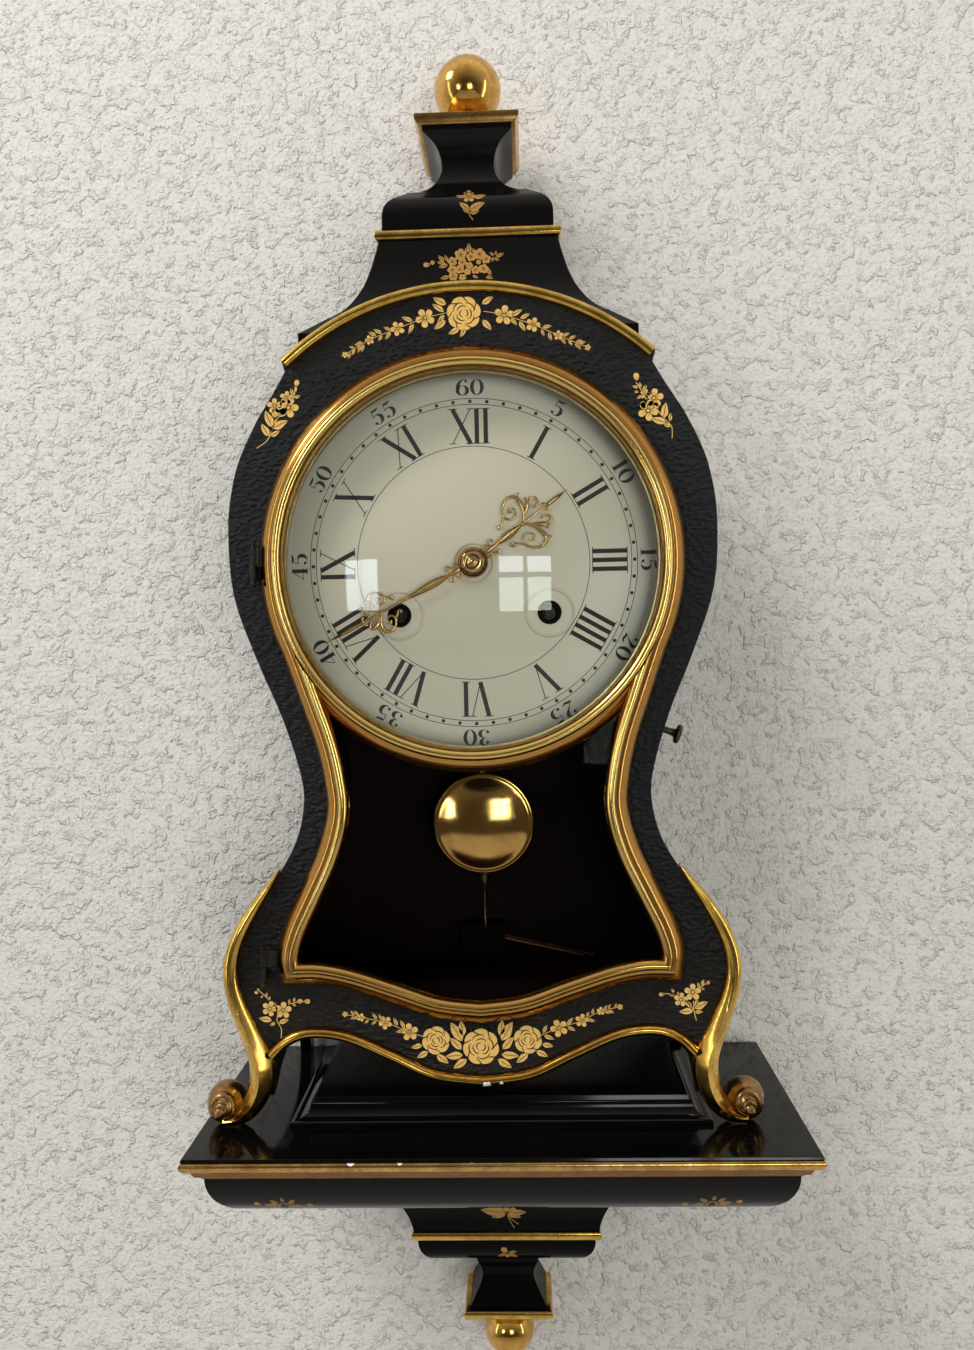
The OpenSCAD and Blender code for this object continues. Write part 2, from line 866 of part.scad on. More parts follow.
module movement_plates() {
  color(brass)
    for (d = [mp_back, mp_front])
      at_dial(d)
        linear_extrude(mp_t)
          difference() {
            translate([-mp_w / 2, -mp_h / 2 - mp_drop])
              square([mp_w, mp_h]);
            circle(r = centre_r + run_clear);
            wind_spots()
              circle(r = wind_r + run_clear);
          }
}

module pillar_spots() {
  for (x = [-pillar_x, pillar_x])
    for (z = [-pillar_z, pillar_z])
      translate([x, z - mp_drop, 0])
        children();
}

module movement_pillars() {
  color(brass)
    at_dial(mp_back + mp_t)
      pillar_spots() {
        cylinder(r = 3, h = mp_front - mp_back - mp_t);
        translate([0, 0, 4])
          cylinder(r = 4.4, h = mp_front - mp_back - mp_t - 8);
      }
  color(brass)
    at_dial(mp_front + mp_t)
      pillar_spots()
        cylinder(r = 2, h = dial_d - dial_t - mp_front - mp_t);
}

wind_r = 3;
wind_end = dial_d - 2;
barrel_r = 24;

module barrels() {
  color(brass)
    at_dial(mp_back + mp_t)
      wind_spots()
        difference() {
          union() {
            cylinder(r = 7, h = mp_front - mp_back - mp_t);
            translate([0, 0, 3])
              cylinder(r = barrel_r, h = 23);
            translate([0, 0, 5])
              cylinder(r = barrel_r + 2.4, h = 2.2);
          }
          translate([0, 0, -1])
            cylinder(r = wind_r + run_clear, h = 60);
        }
}

// A wheel with straight flanked teeth, turned by a number of teeth
module wheel(teeth, mod, t, turn) {
  pr = teeth * mod / 2;
  pitch = 360 / teeth;
  half_deg = pitch / 4 - backlash / pr * 57.3;
  root = pr - 1.25 * mod;
  linear_extrude(t)
    rotate(turn * pitch)
      polygon([for (i = [0 : teeth - 1]) for (k = [[root, -1.75], [pr, -1], [pr + mod * 0.9, -0.42],
        [pr + mod * 0.9, 0.42], [pr, 1], [root, 1.75]])
        let (a = 90 + i * pitch + k[1] * half_deg) k[0] * [cos(a), sin(a)]]);
}

cannon_teeth = 12;
minute_teeth = 36;
pinion_teeth = 10;
hour_teeth = 40;
motion_y = (cannon_teeth + minute_teeth) / 2 * mod_mw;
mod_hour = 2 * motion_y / (pinion_teeth + hour_teeth);
stud_r = 1.2;
mw_t = 1.6;
mw1_d = mp_front + mp_t + 0.8;
mw2_d = mw1_d + mw_t + 0.8;

// Hands point to about twenty to two at rest
minute_a = 242.5;
hour_a = 53.5;

module centre_arbor() {
  color(steel)
    at_dial(mp_back - 1)
      cylinder(r = centre_r, h = mw1_d - mp_back + 1.2);
  color(brass)
    at_dial(mw1_d)
      wheel(cannon_teeth, mod_mw, mw_t, 0);
  color(brass)
    at_dial(mw1_d)
      cylinder(r = cannon_r, h = minute_d + 0.6 - mw1_d);
}

hour_d = dial_d + 2.4;
minute_d = hour_d + 3;
hand_t = 0.7;

module hour_wheel() {
  color(brass)
    at_dial(mw2_d)
      difference() {
        union() {
          wheel(hour_teeth, mod_hour, mw_t, 0.5);
          cylinder(r = hour_pipe_r + 0.9, h = hour_d - mw2_d);
        }
        translate([0, 0, -1])
          cylinder(r = hour_pipe_r - 0.55, h = 30);
      }
}

module minute_wheel() {
  color(brass)
    at_dial(mw1_d)
      translate([0, -motion_y, 0])
        difference() {
          union() {
            wheel(minute_teeth, mod_mw, mw_t, 0.5);
            translate([0, 0, mw_t])
              wheel(pinion_teeth, mod_hour, 2.6, 0);
          }
          translate([0, 0, -1])
            cylinder(r = stud_r + run_clear, h = 10);
        }
}

module motion_stud() {
  color(steel)
    at_dial(mp_front + mp_t)
      translate([0, -motion_y, 0]) {
        cylinder(r = 2.4, h = mw1_d - mp_front - mp_t - 0.2);
        cylinder(r = stud_r, h = 6);
        translate([0, 0, mw1_d - mp_front - mp_t + mw_t + 2.8])
          cylinder(r = 2.4, h = 0.8);
      }
}

// Hands with pierced leaf shaped tips
module hand_outline(len, knot, wide) {
  difference() {
    union() {
      circle(r = 4.4);
      polygon([[-1.1, 3], [1.1, 3], [0.8, knot - wide * 0.75], [-0.8, knot - wide * 0.75]]);
      for (s = [-1, 1])
        translate([s * wide * 0.52, knot])
          circle(r = wide * 0.55, $fn = 36);
      translate([0, knot - wide * 0.5])
        circle(r = wide * 0.42, $fn = 36);
      polygon([[-wide * 0.42, knot], [wide * 0.42, knot], [1, knot + wide * 1.1], [0.25, len], [-0.25, len],
        [-1, knot + wide * 1.1]]);
    }
    for (s = [-1, 1])
      translate([s * wide * 0.54, knot])
        circle(r = wide * 0.36, $fn = 30);
    translate([0, knot - wide * 0.5])
      circle(r = wide * 0.22, $fn = 24);
  }
}

module hour_hand() {
  color(brass)
    at_dial(hour_d)
      rotate([0, 0, -hour_a])
        linear_extrude(hand_t)
          difference() {
            hand_outline(57, 34, 9);
            circle(r = hour_pipe_r - 0.55);
          }
}

module minute_hand() {
  color(brass)
    at_dial(minute_d)
      rotate([0, 0, -minute_a])
        linear_extrude(hand_t)
          difference() {
            hand_outline(82, 52, 7);
            circle(r = cannon_r);
          }
}

module hand_nut() {
  color(brass)
    at_dial(minute_d + hand_t) {
      cylinder(r = 7, h = 0.8);
      translate([0, 0, 0.8])
        cylinder(r1 = 6.6, r2 = 4.4, h = 2);
      translate([0, 0, 2.8])
        cylinder(r1 = 3, r2 = 1.8, h = 1.8);
    }
}

square_w = 3.8;
square_h = 5;

module winding_arbor() {
  cylinder(r = wind_r, h = wind_end - mp_back);
  translate([-square_w / 2, -square_w / 2, wind_end - mp_back])
    cube([square_w, square_w, square_h]);
}

module winding_arbor_left() {
  color(steel)
    at_dial(mp_back - 2)
      translate([-wind_x, -wind_drop, 0])
        winding_arbor();
}

module winding_arbor_right() {
  color(steel)
    at_dial(mp_back - 2)
      translate([wind_x, -wind_drop, 0])
        winding_arbor();
}

// Pendulum on a pin under its cock

cock_pin_r = 1.2;

module suspension_cock() {
  color(brass)
    at_dial(mp_back - 14)
      translate([0, pivot_up, 0]) {
        translate([-6, 4, 0])
          cube([12, 4, 14]);
        translate([-6, -4, 12])
          cube([12, 12, 2]);
        translate([-6, -4, 0])
          cube([12, 12, 2]);
      }
  color(steel)
    at_dial(mp_back - 13)
      translate([0, pivot_up, 0])
        cylinder(r = cock_pin_r, h = 12);
}

rod_w = 2.4;
rod_t = 1.6;
nut_drop = 34;
tip_drop = 56;

module pendulum_rod() {
  color(steel)
    at_dial(pend_d)
      translate([0, pivot_up, -rod_t / 2]) {
        difference() {
          union() {
            cylinder(r = 3, h = rod_t);
            translate([-rod_w / 2, -bob_drop - bob_r, 0])
              cube([rod_w, bob_drop + bob_r, rod_t]);
          }
          translate([0, 0, -1])
            cylinder(r = cock_pin_r + run_clear, h = 5);
        }
        translate([0, -bob_drop - bob_r, rod_t / 2])
          rotate([90, 0, 0])
            cylinder(r = 0.9, h = tip_drop - bob_r);
      }
}

bob_t = 9;

module pendulum_bob() {
  rb = (pow(bob_r, 2) + pow(bob_t / 2, 2)) / bob_t;
  n = 10;
  a = asin(bob_r / rb);
  half = [for (i = [0 : n]) let (t = a * i / n) [rb * sin(t), rb * cos(t) - rb + bob_t / 2]];
  color(brass)
    at_dial(pend_d)
      translate([0, pivot_up - bob_drop, 0])
        difference() {
          rotate_extrude()
            polygon(concat(half, [for (i = [n - 1 : -1 : 0]) [half[i][0], -half[i][1]]]));
          translate([-rod_w / 2, -40, -rod_t / 2])
            cube([rod_w, 80, rod_t]);
        }
}

nut_r = 3.4;

module rating_nut() {
  color(brass)
    at_dial(pend_d)
      translate([0, pivot_up - bob_drop - bob_r - 0.2, 0])
        rotate([90, 0, 0])
          difference() {
            union() {
              cylinder(r = nut_r, h = 2.4);
              cylinder(r = 1.9, h = 4.6);
            }
            translate([0, 0, -1])
              cylinder(r = 0.9 + run_clear, h = 10);
          }
}

// Gong: a block on the back board with two straight rods

gong_z = 64;
gong_a = 13;

gong_r = 1.4;
gong_seat = 6;
gong_block_x = 10;
gong_len = 56;

module gong_spots() {
  for (k = [0, 1])
    translate([gong_block_x - gong_seat, -(back_d + back_t + 5 + 5 * k), gong_z + 3])
      rotate([0, 90 + gong_a, 0])
        linear_extrude(gong_len - 6 * k)
          children();
}

module gong_block() {
  color([0.35, 0.3, 0.28])
    on_clock()
      difference() {
        translate([gong_block_x - 24, -(back_d + back_t + 14), gong_z - 8])
          cube([24, 14, 18]);
        gong_spots()
          circle(r = gong_r + run_clear);
      }
}

module gong_rods() {
  color([0.62, 0.36, 0.2])
    on_clock()
      gong_spots()
        circle(r = gong_r);
}

shelf_board();
shelf_gilt_edge();
shelf_plinth();
bracket_bowl();
bracket_corbel();
bracket_bead();
bracket_cup();
bracket_pendant();
pendant_gilt_edge();
bracket_ball();
hanger_plates();
front_plate();
side_panel_left();
side_panel_right();
back_board();
floor_board();
top_board();
crown_skirt();
crown_bead();
crown_cap();
crown_abacus();
crown_ball();
arch_moulding();
leg_moulding_left();
leg_moulding_right();
foot_scroll_left();
foot_scroll_right();
apron_moulding();
hinge_pins();
dial_surround();
dial();
movement_plates();
movement_pillars();
barrels();
suspension_cock();
gong_block();
gong_rods();
latch_bush();
door_frame();
dial_glass();
glass_ring();
lower_glass();
door_knuckles();
latch_knob();
minute_hand();
hand_nut();
centre_arbor();
hour_hand();
hour_wheel();
minute_wheel();
motion_stud();
winding_arbor_left();
winding_arbor_right();
pendulum_rod();
pendulum_bob();
rating_nut();
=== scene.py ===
# %% [markdown]
# # A bracket clock on its own shelf
# The clock is a thin waisted case with a black front board, edged in gilt mouldings that run down into
# two legs and end in snail scrolls. It stands on a bracket that hangs on the wall.
# The frame holds every sub-part at its true size, so each new piece below is made to the same millimetres
# and only has to look like the real thing: the frame already says where it goes and how it moves.

# %% The frame
import bpy
import json
import math
from mathutils import Matrix, Vector


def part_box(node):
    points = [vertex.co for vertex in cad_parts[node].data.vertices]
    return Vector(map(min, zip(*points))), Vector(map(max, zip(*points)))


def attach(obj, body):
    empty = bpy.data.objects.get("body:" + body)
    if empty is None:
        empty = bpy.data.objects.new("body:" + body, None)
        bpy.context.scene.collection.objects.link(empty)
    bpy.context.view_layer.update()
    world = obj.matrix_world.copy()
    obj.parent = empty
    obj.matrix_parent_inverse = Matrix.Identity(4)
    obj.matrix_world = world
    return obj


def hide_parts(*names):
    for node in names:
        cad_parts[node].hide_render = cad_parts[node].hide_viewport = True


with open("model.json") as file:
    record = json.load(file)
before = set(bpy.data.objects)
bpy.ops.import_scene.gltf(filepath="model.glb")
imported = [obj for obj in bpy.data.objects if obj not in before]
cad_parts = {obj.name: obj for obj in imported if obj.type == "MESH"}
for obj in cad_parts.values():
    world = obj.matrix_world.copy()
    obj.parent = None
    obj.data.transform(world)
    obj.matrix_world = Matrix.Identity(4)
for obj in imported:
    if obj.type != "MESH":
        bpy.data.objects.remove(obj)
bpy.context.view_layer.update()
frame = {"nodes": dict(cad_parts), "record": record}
MM = 0.001
print("sub-parts in the frame:", len(frame["nodes"]))

# %% [markdown]
# ## Where things are
# Lengths on the clock are written in millimetres; the stage and the lamps are placed in metres. The
# clock's own axis stands 8 mm to the left of the bracket's, as it does on the wall, and heights on the
# clock are counted from the top of the shelf. Depth is counted from the wall towards the viewer.

# %% Places on the clock
CLOCK_X, SHELF_Z = -8, 38
DIAL_Z = 267
FRONT_D, DOOR_D, DIAL_D = 108, 108.3, 91
SIGHT_R, FRAME_W = 88, 11
BACK_D = 3


def row(x, d, z):
    """A place on the clock, from its axis, the wall and the shelf, in the frame's metres."""
    return Vector(((x + CLOCK_X) * MM, -d * MM, (z + SHELF_Z) * MM))


print("dial centre at", [round(v, 4) for v in row(0, DIAL_D, DIAL_Z)])

# %% [markdown]
# ## The camera
# The photograph was taken by hand from about half a metre in front of the clock, level with the lower part
# of the dial and a little to the right, with the picture turned by about a degree. A fairly wide lens at
# that distance gives the strong perspective: the crown is seen from below and the shelf's top from above.

# %% The camera
eye = bpy.data.cameras.new("eye")
eye.sensor_fit = "VERTICAL"
eye.sensor_height = 36
eye.lens = 29.54
eye.clip_start = 0.01
camera = bpy.data.objects.new("eye", eye)
bpy.context.scene.collection.objects.link(camera)
camera.location = (0.0159, -0.6267, 0.2627)
turned_left = Matrix.Rotation(0.0344, 4, "Z")
looking_level = Matrix.Rotation(math.radians(90) - 0.0223, 4, "X")
tipped = Matrix.Rotation(-0.0212, 4, "Z")
camera.rotation_euler = (turned_left @ looking_level @ tipped).to_euler()
bpy.context.scene.camera = camera
print("camera stands", round(-camera.location.y, 3), "m from the wall")

# %% [markdown]
# ## Sums in shaders
# Every finish is a small sum of patterns. Writing each sum as an expression keeps it readable, so one
# small class wraps an output socket and turns + - * into Math nodes, and one method adds any other node.

# %% Sums of sockets
class Amount:
    """A socket that can be used in a sum."""

    def __init__(self, finish, socket):
        self.finish, self.socket = finish, socket

    def math(self, operation, *values):
        return self.finish.node("ShaderNodeMath", {"operation": operation}, values)

    def __add__(self, other):
        return self.math("ADD", self, other)

    def __radd__(self, other):
        return self.math("ADD", other, self)

    def __sub__(self, other):
        return self.math("SUBTRACT", self, other)

    def __rsub__(self, other):
        return self.math("SUBTRACT", other, self)

    def __mul__(self, other):
        return self.math("MULTIPLY", self, other)

    def __rmul__(self, other):
        return self.math("MULTIPLY", other, self)

    def most(self, other):
        return self.math("MAXIMUM", self, other)


def shade(r, g, b):
    return (r, g, b, 1)


print("sums that a socket knows: +, -, * and the greater of two")

# %% [markdown]
# A finish starts as a Principled shader and a point in Object coordinates. Its methods are the few patterns
# that the maker needs: noise, cells, a soft band, a mix of two colours, the distance to a place, and relief.
# Sizes are in millimetres, so a pattern can be measured on the real thing.

# %% A finish under the brush
class Finish:
    """A material whose patterns on Object coordinates are joined to one Principled shader."""

    def __init__(self, name, **constants):
        self.material = bpy.data.materials.new(name)
        self.material.use_nodes = True
        self.tree = self.material.node_tree
        self.shader = self.tree.nodes["Principled BSDF"]
        for socket, value in constants.items():
            self.shader.inputs[socket.replace("_", " ")].default_value = value
        self.at = self.node("ShaderNodeTexCoord", output="Object")

    def node(self, kind, settings=None, values=(), output=0):
        made = self.tree.nodes.new(kind)
        for key, value in (settings or {}).items():
            setattr(made, key, value)
        pairs = values.items() if isinstance(values, dict) else enumerate(values)
        for key, value in pairs:
            self.feed(made.inputs[key], value)
        return Amount(self, made.outputs[output])

    def feed(self, socket, value):
        if isinstance(value, Amount):
            self.tree.links.new(value.socket, socket)
        else:
            socket.default_value = value

    def stretched(self, across, deep, up):
        return self.node("ShaderNodeVectorMath", {"operation": "MULTIPLY"}, [self.at, (across, deep, up)])

    def noise(self, size, detail=3.0, rough=0.5, warp=0.0, at=None):
        return self.node("ShaderNodeTexNoise", None, {"Vector": at or self.at, "Scale": 1 / (size * MM),
            "Detail": detail, "Roughness": rough, "Distortion": warp})

    def cells(self, size, feature="F1", at=None):
        return self.node("ShaderNodeTexVoronoi", {"feature": feature},
            {"Vector": at or self.at, "Scale": 1 / (size * MM)})

    def part(self, axis):
        """One coordinate, in millimetres."""
        return self.node("ShaderNodeSeparateXYZ", None, [self.at], output=axis) * (1 / MM)

    def away(self, place):
        """The distance from a place, in millimetres."""
        return self.node("ShaderNodeVectorMath", {"operation": "DISTANCE"}, [self.at, tuple(place)],
            output="Value") * (1 / MM)

    def band(self, value, low, high, start=0.0, end=1.0):
        return self.node("ShaderNodeMapRange", {"interpolation_type": "SMOOTHSTEP"},
            [value, low, high, start, end])

    def near(self, place, reach):
        """1 at a place, 0 beyond its reach in millimetres."""
        return self.band(self.away(place), 0, reach, 1, 0)

    def mix(self, share, first, second):
        return self.node("ShaderNodeMix", {"data_type": "RGBA"}, {0: share, 6: first, 7: second}, output=2)

    def wear(self, **sockets):
        for socket, value in sockets.items():
            self.feed(self.shader.inputs[socket.replace("_", " ")], value)

    def relief(self, height, depth):
        self.wear(Normal=self.node("ShaderNodeBump", None,
            {"Height": height, "Strength": 1.0, "Distance": depth * MM}))

    def blended(self, share, first, second):
        """Ends the finish in a blend of two shaders instead of one."""
        blend = self.tree.nodes.new("ShaderNodeMixShader")
        self.feed(blend.inputs[0], share)
        self.tree.links.new(first.outputs[0], blend.inputs[1])
        self.tree.links.new(second.outputs[0], blend.inputs[2])
        self.tree.links.new(blend.outputs[0], self.tree.nodes["Material Output"].inputs["Surface"])


print("a finish can:", ", ".join(word for word in vars(Finish) if not word.startswith("_")))

# %% [markdown]
# ## Black lacquer
# The case is lacquered black over wood. Two kinds show: the crown, the sides and the bracket are smooth,
# with faint brush marks and dust, and the front board is rougher, like fine leather, because the coat was
# stippled. One recipe does for all the smooth ones: the shelf's top has the most polish, the tiers below it
# mirror least, and the dull one draws the thin lines over the gold. All stay a little above pure black, so
# light can model them.

# %% Black lacquers
def black_lacquer(name, sheen, coat, gloss):
    paint = Finish(name, Coat_Weight=coat, Coat_Roughness=0.08, Specular_IOR_Level=gloss)
    cloud = paint.noise(38, 4)
    brush = paint.noise(0.9, 2, at=paint.stretched(0.12, 1, 1))
    dust = paint.band(paint.noise(2.2, 5, 0.7), 0.62, 0.75)
    tone = paint.mix(cloud, shade(0.0012, 0.0012, 0.0013), shade(0.0028, 0.0025, 0.0025))
    paint.wear(Base_Color=paint.mix(dust * 0.25, tone, shade(0.020, 0.018, 0.016)),
        Roughness=sheen + (cloud - 0.5) * 0.10 + dust * 0.10 + brush * 0.04)
    paint.relief(paint.noise(4.5, 2) * 0.6 + brush * 0.25 + dust * 0.1, 0.05)
    return paint.material


lacquer = black_lacquer("black_lacquer", 0.17, 0.08, 0.16)
bracket_lacquer = black_lacquer("bracket_lacquer", 0.15, 0.02, 0.05)
shelf_lacquer = black_lacquer("shelf_lacquer", 0.09, 0.35, 0.05)
line_black = black_lacquer("line_black", 0.45, 0.0, 0.1)
print("smooth blacks:", lacquer.name, bracket_lacquer.name, shelf_lacquer.name, line_black.name)

# %% The stippled front
def stippled_lacquer():
    paint = Finish("stippled_lacquer", Specular_IOR_Level=0.30)
    pebble = paint.cells(1.8, "SMOOTH_F1", at=paint.stretched(0.75, 1, 1.15))
    grain = paint.noise(0.8, 4, 0.65, 0.6)
    cloud = paint.noise(30, 3)
    strokes = paint.band(paint.noise(1.1, 3, 0.6, at=paint.stretched(1, 1, 0.07)), 0.52, 0.70)
    foot = paint.band(paint.part("Z"), 40, 110, 1, 0) * paint.band(paint.noise(42, 2), 0.35, 0.6)
    tone = paint.mix(cloud, shade(0.0015, 0.0021, 0.003), shade(0.0038, 0.005, 0.0068))
    paint.wear(Base_Color=paint.mix(strokes * foot * 0.35, tone, shade(0.03, 0.035, 0.045)),
        Roughness=0.20 + (grain - 0.5) * 0.2 + (cloud - 0.5) * 0.08)
    paint.relief(pebble * 2.0 + grain * 0.8 - strokes * foot * 0.5, 1.0)
    return paint.material


front_black = stippled_lacquer()
print("rough black:", front_black.name)

# %% [markdown]
# ## Gilding
# The mouldings are water-gilt over a red ground. Gold leaf is a metal, so it gets its colour from what it
# mirrors; what makes it look real is where it is thin. The mottling darkens the leaf towards the red
# ground, small pits break the shine, and a few chips show the white gesso.

# %% Gilt finishes
def gilt_leaf(name, bright, dull, rough, pits, chips=(), shaded_below=None):
    """chips: places and reaches of bare gesso; last, the height in millimetres below which a painted shade
    darkens the leaf.
    """
    leaf = Finish(name, Metallic=1.0)
    cloud = leaf.noise(9, 4, 0.6, 0.4)
    mottle = leaf.band(leaf.noise(1.6, 4, 0.65), 0.42, 0.66)
    pit = leaf.band(leaf.cells(0.9), 0.10, 0.42, 1, 0)
    tone = leaf.mix(leaf.band(cloud, 0.35, 0.68) * 0.75, bright, dull)
    tone = leaf.mix(mottle * 0.45, tone, dull)
    tone = leaf.mix(pit * pits * 0.5, tone, shade(0.20, 0.09, 0.03))
    bare = None
    for place, reach in chips:
        chip = leaf.near(place, reach) + (leaf.noise(1.1, 3) - 0.5) * 0.9
        bare = bare.most(chip) if bare else chip
    if bare:
        gesso = leaf.band(bare, 0.5, 0.62)
        tone = leaf.mix(gesso, tone, shade(0.80, 0.78, 0.72))
        leaf.wear(Metallic=1 - gesso)
    # painted shade: below the given height the leaf is darkened, for an underside that looks down into the
    # dark room
    if shaded_below is not None:
        below = leaf.band(leaf.part("Z"), shaded_below - 0.8, shaded_below + 0.8, 0.8, 0)
        tone = leaf.mix(below, tone, shade(0.20, 0.085, 0.03))
    leaf.wear(Base_Color=tone, Roughness=rough + mottle * 0.06 + (cloud - 0.5) * 0.08)
    leaf.relief(cloud * 0.5 - pit * pits * 0.5 + leaf.noise(0.6, 2) * 0.05, 0.05)
    return leaf.material


moulding_gilt = gilt_leaf("moulding_gilt", shade(0.84, 0.56, 0.13), shade(0.46, 0.25, 0.04), 0.13, 0.15)
apron_gilt = gilt_leaf("apron_gilt", shade(0.72, 0.42, 0.09), shade(0.36, 0.18, 0.03), 0.13, 0.15,
    [(row(2, 112, 20.5), 4.2), (row(9, 112, 21.5), 2.2), (row(-92, 110, 42), 1.8)])
# the nosing's underside, below 6.8 mm under the shelf's top, is darkened as painted shade
edge_gilt = gilt_leaf("edge_gilt", shade(0.74, 0.45, 0.14), shade(0.36, 0.17, 0.05), 0.17, 0.2,
    [(row(-58, 142, -1.5), 3.5), (row(-36, 142, -1.5), 2.4), (row(-4, 142, -1), 2.6),
    (row(92, 142, -3), 2.0)], SHELF_Z - 6.8)
ball_gilt = gilt_leaf("ball_gilt", shade(0.80, 0.49, 0.14), shade(0.50, 0.26, 0.06), 0.12, 0.1,
    [(row(-4, 48, 522), 1.6), (row(1, 47, 523), 1.1)])
scroll_gilt = gilt_leaf("scroll_gilt", shade(0.42, 0.255, 0.10), shade(0.15, 0.075, 0.03), 0.25, 0.5)
bead_gilt = gilt_leaf("bead_gilt", shade(0.80, 0.52, 0.13), shade(0.42, 0.22, 0.05), 0.12, 0.1)
gilts = (moulding_gilt, apron_gilt, edge_gilt, ball_gilt, scroll_gilt, bead_gilt)
print("gilt finishes:", [gilt.name for gilt in gilts])

# %% [markdown]
# The door's moulding was toned with a brown glaze: its slopes are the colour of old varnish and cloudy.
# The slopes are also made darker and redder towards the top of the ring. Only the crest was rubbed back to
# bright gold, in the ring more than in the lower frame, and one lower corner is worn through. Height above
# the door's back tells crest from slope, so the mask reads depth in Object coordinates.

# %% The door's toned gilding
def toned_gilt():
    leaf = Finish("toned_gilt", Metallic=1.0)
    height = leaf.part("Y") * -1 - DOOR_D
    glaze = leaf.noise(2.6, 5, 0.65, 0.8)
    cloud = leaf.noise(14, 3)
    rubbed = leaf.band(leaf.part("Z"), 112, 170) * 0.75 + 0.25
    crest = leaf.band(height + (glaze - 0.5) * 0.6, 7.7, 8.5) * rubbed
    low = leaf.band(height + (glaze - 0.5) * 1.5, 1.5, 4.5, 1, 0)
    aloft = leaf.band(leaf.part("Z"), 330, 450)
    brown = leaf.mix(glaze, shade(0.38, 0.185, 0.042), shade(0.58, 0.33, 0.09))
    darker = leaf.mix(glaze, shade(0.20, 0.070, 0.016), shade(0.33, 0.135, 0.035))
    gold = leaf.mix(glaze * 0.6, shade(0.90, 0.65, 0.21), shade(0.62, 0.38, 0.09))
    tone = leaf.mix(crest, leaf.mix(aloft * 0.85, brown, darker), gold)
    tone = leaf.mix(low * 0.7, tone, shade(0.20, 0.075, 0.02))
    corner = leaf.near(row(-89, 112, 74), 5.5) + (leaf.noise(2, 3) - 0.5) * 1.2
    worn = leaf.band(corner, 0.42, 0.6)
    tone = leaf.mix(worn, tone, shade(0.15, 0.065, 0.035))
    leaf.wear(Base_Color=tone, Metallic=1 - worn * 0.9,
        Roughness=0.16 + (cloud - 0.5) * 0.10 + low * 0.14 + worn * 0.3)
    leaf.relief(glaze * 0.5 + leaf.noise(0.7, 2) * 0.12 - worn * 0.8, 0.05)
    return leaf.material


door_gilt = toned_gilt()
print("the door's gilding:", door_gilt.name)

# %% [markdown]
# The flowers are gold powder laid on with a brush, so they are matt and only partly metal. On the curved
# tiers the same paint is laid darker, at a lower strength.

# %% Gold paint
def gold_brushed(name, strong):
    paint = Finish(name, Metallic=0.3)
    mottle = paint.noise(2.2, 4, 0.6)
    thin = paint.band(paint.noise(0.7, 3, 0.6), 0.56, 0.72)
    tone = paint.mix(mottle, shade(0.90 * strong, 0.59 * strong ** 1.25, 0.18 * strong ** 1.5),
        shade(0.72 * strong, 0.42 * strong ** 1.25, 0.11 * strong ** 1.5))
    paint.wear(Base_Color=paint.mix(thin * 0.5, tone, shade(0.16, 0.08, 0.03)),
        Roughness=0.40 + mottle * 0.15)
    paint.relief(mottle, 0.05)
    return paint.material


gold_paint, darker_gold = gold_brushed("gold_paint", 1.0), gold_brushed("darker_gold", 0.55)
print("gold paints:", gold_paint.name, darker_gold.name)

# %% [markdown]
# ## Brass, steel, copper, wood
# The hands are pierced and polished brass and the rest of the works is plain. The hinges are dark, and the
# winding squares are near black, a painted shade for their place deep in the holes. The bob and the hands'
# nut are turned brass with fine circular marks. Those come from the distance to the disc's own centre, so
# they stay on the disc wherever it swings.

# %% Metals
def plain_metal(name, colour, dark, rough, size=6):
    metal = Finish(name, Metallic=1.0)
    cloud = metal.noise(size, 4, 0.6)
    fine = metal.noise(0.6, 3)
    metal.wear(Base_Color=metal.mix(metal.band(cloud, 0.35, 0.7) * 0.6, colour, dark),
        Roughness=rough + (cloud - 0.5) * 0.16 + fine * 0.04)
    metal.relief(fine, 0.012)
    return metal.material


hand_brass = plain_metal("hand_brass", shade(0.88, 0.62, 0.26), shade(0.66, 0.38, 0.13), 0.20, 4)
# painted shade: the winding squares' steel is near black, as they sit deep in the dark holes
arbor_shaded_steel = plain_metal("arbor_shaded_steel", shade(0.05, 0.05, 0.05), shade(0.02, 0.02, 0.02), 0.42, 2)
rod_dark = plain_metal("rod_dark", shade(0.16, 0.10, 0.05), shade(0.06, 0.04, 0.025), 0.3, 3)
works_brass = plain_metal("works_brass", shade(0.74, 0.56, 0.26), shade(0.50, 0.34, 0.13), 0.32)
steel = plain_metal("steel", shade(0.55, 0.55, 0.56), shade(0.30, 0.29, 0.28), 0.25)
iron = plain_metal("dark_iron", shade(0.10, 0.085, 0.075), shade(0.04, 0.03, 0.025), 0.38, 3)
hinge_brass = plain_metal("darkened_brass", shade(0.045, 0.040, 0.036), shade(0.020, 0.018, 0.016), 0.36, 3)
copper = plain_metal("gong_copper", shade(0.24, 0.11, 0.06), shade(0.12, 0.055, 0.03), 0.4)
print("plain metals:", hand_brass.name, works_brass.name, steel.name, iron.name, copper.name)

# %% Turned brass
def turned_brass(name, centre, colour, dark, rough):
    metal = Finish(name, Metallic=1.0)
    lines = metal.node("ShaderNodeTexNoise", {"noise_dimensions": "1D"},
        {"W": metal.away(centre) * 5.2, "Detail": 2.0})
    cloud = metal.noise(12, 3)
    metal.wear(Base_Color=metal.mix(metal.band(cloud, 0.4, 0.7) * 0.5, colour, dark),
        Roughness=rough + (lines - 0.5) * 0.06 + (cloud - 0.5) * 0.08)
    metal.relief(lines, 0.004)
    return metal.material


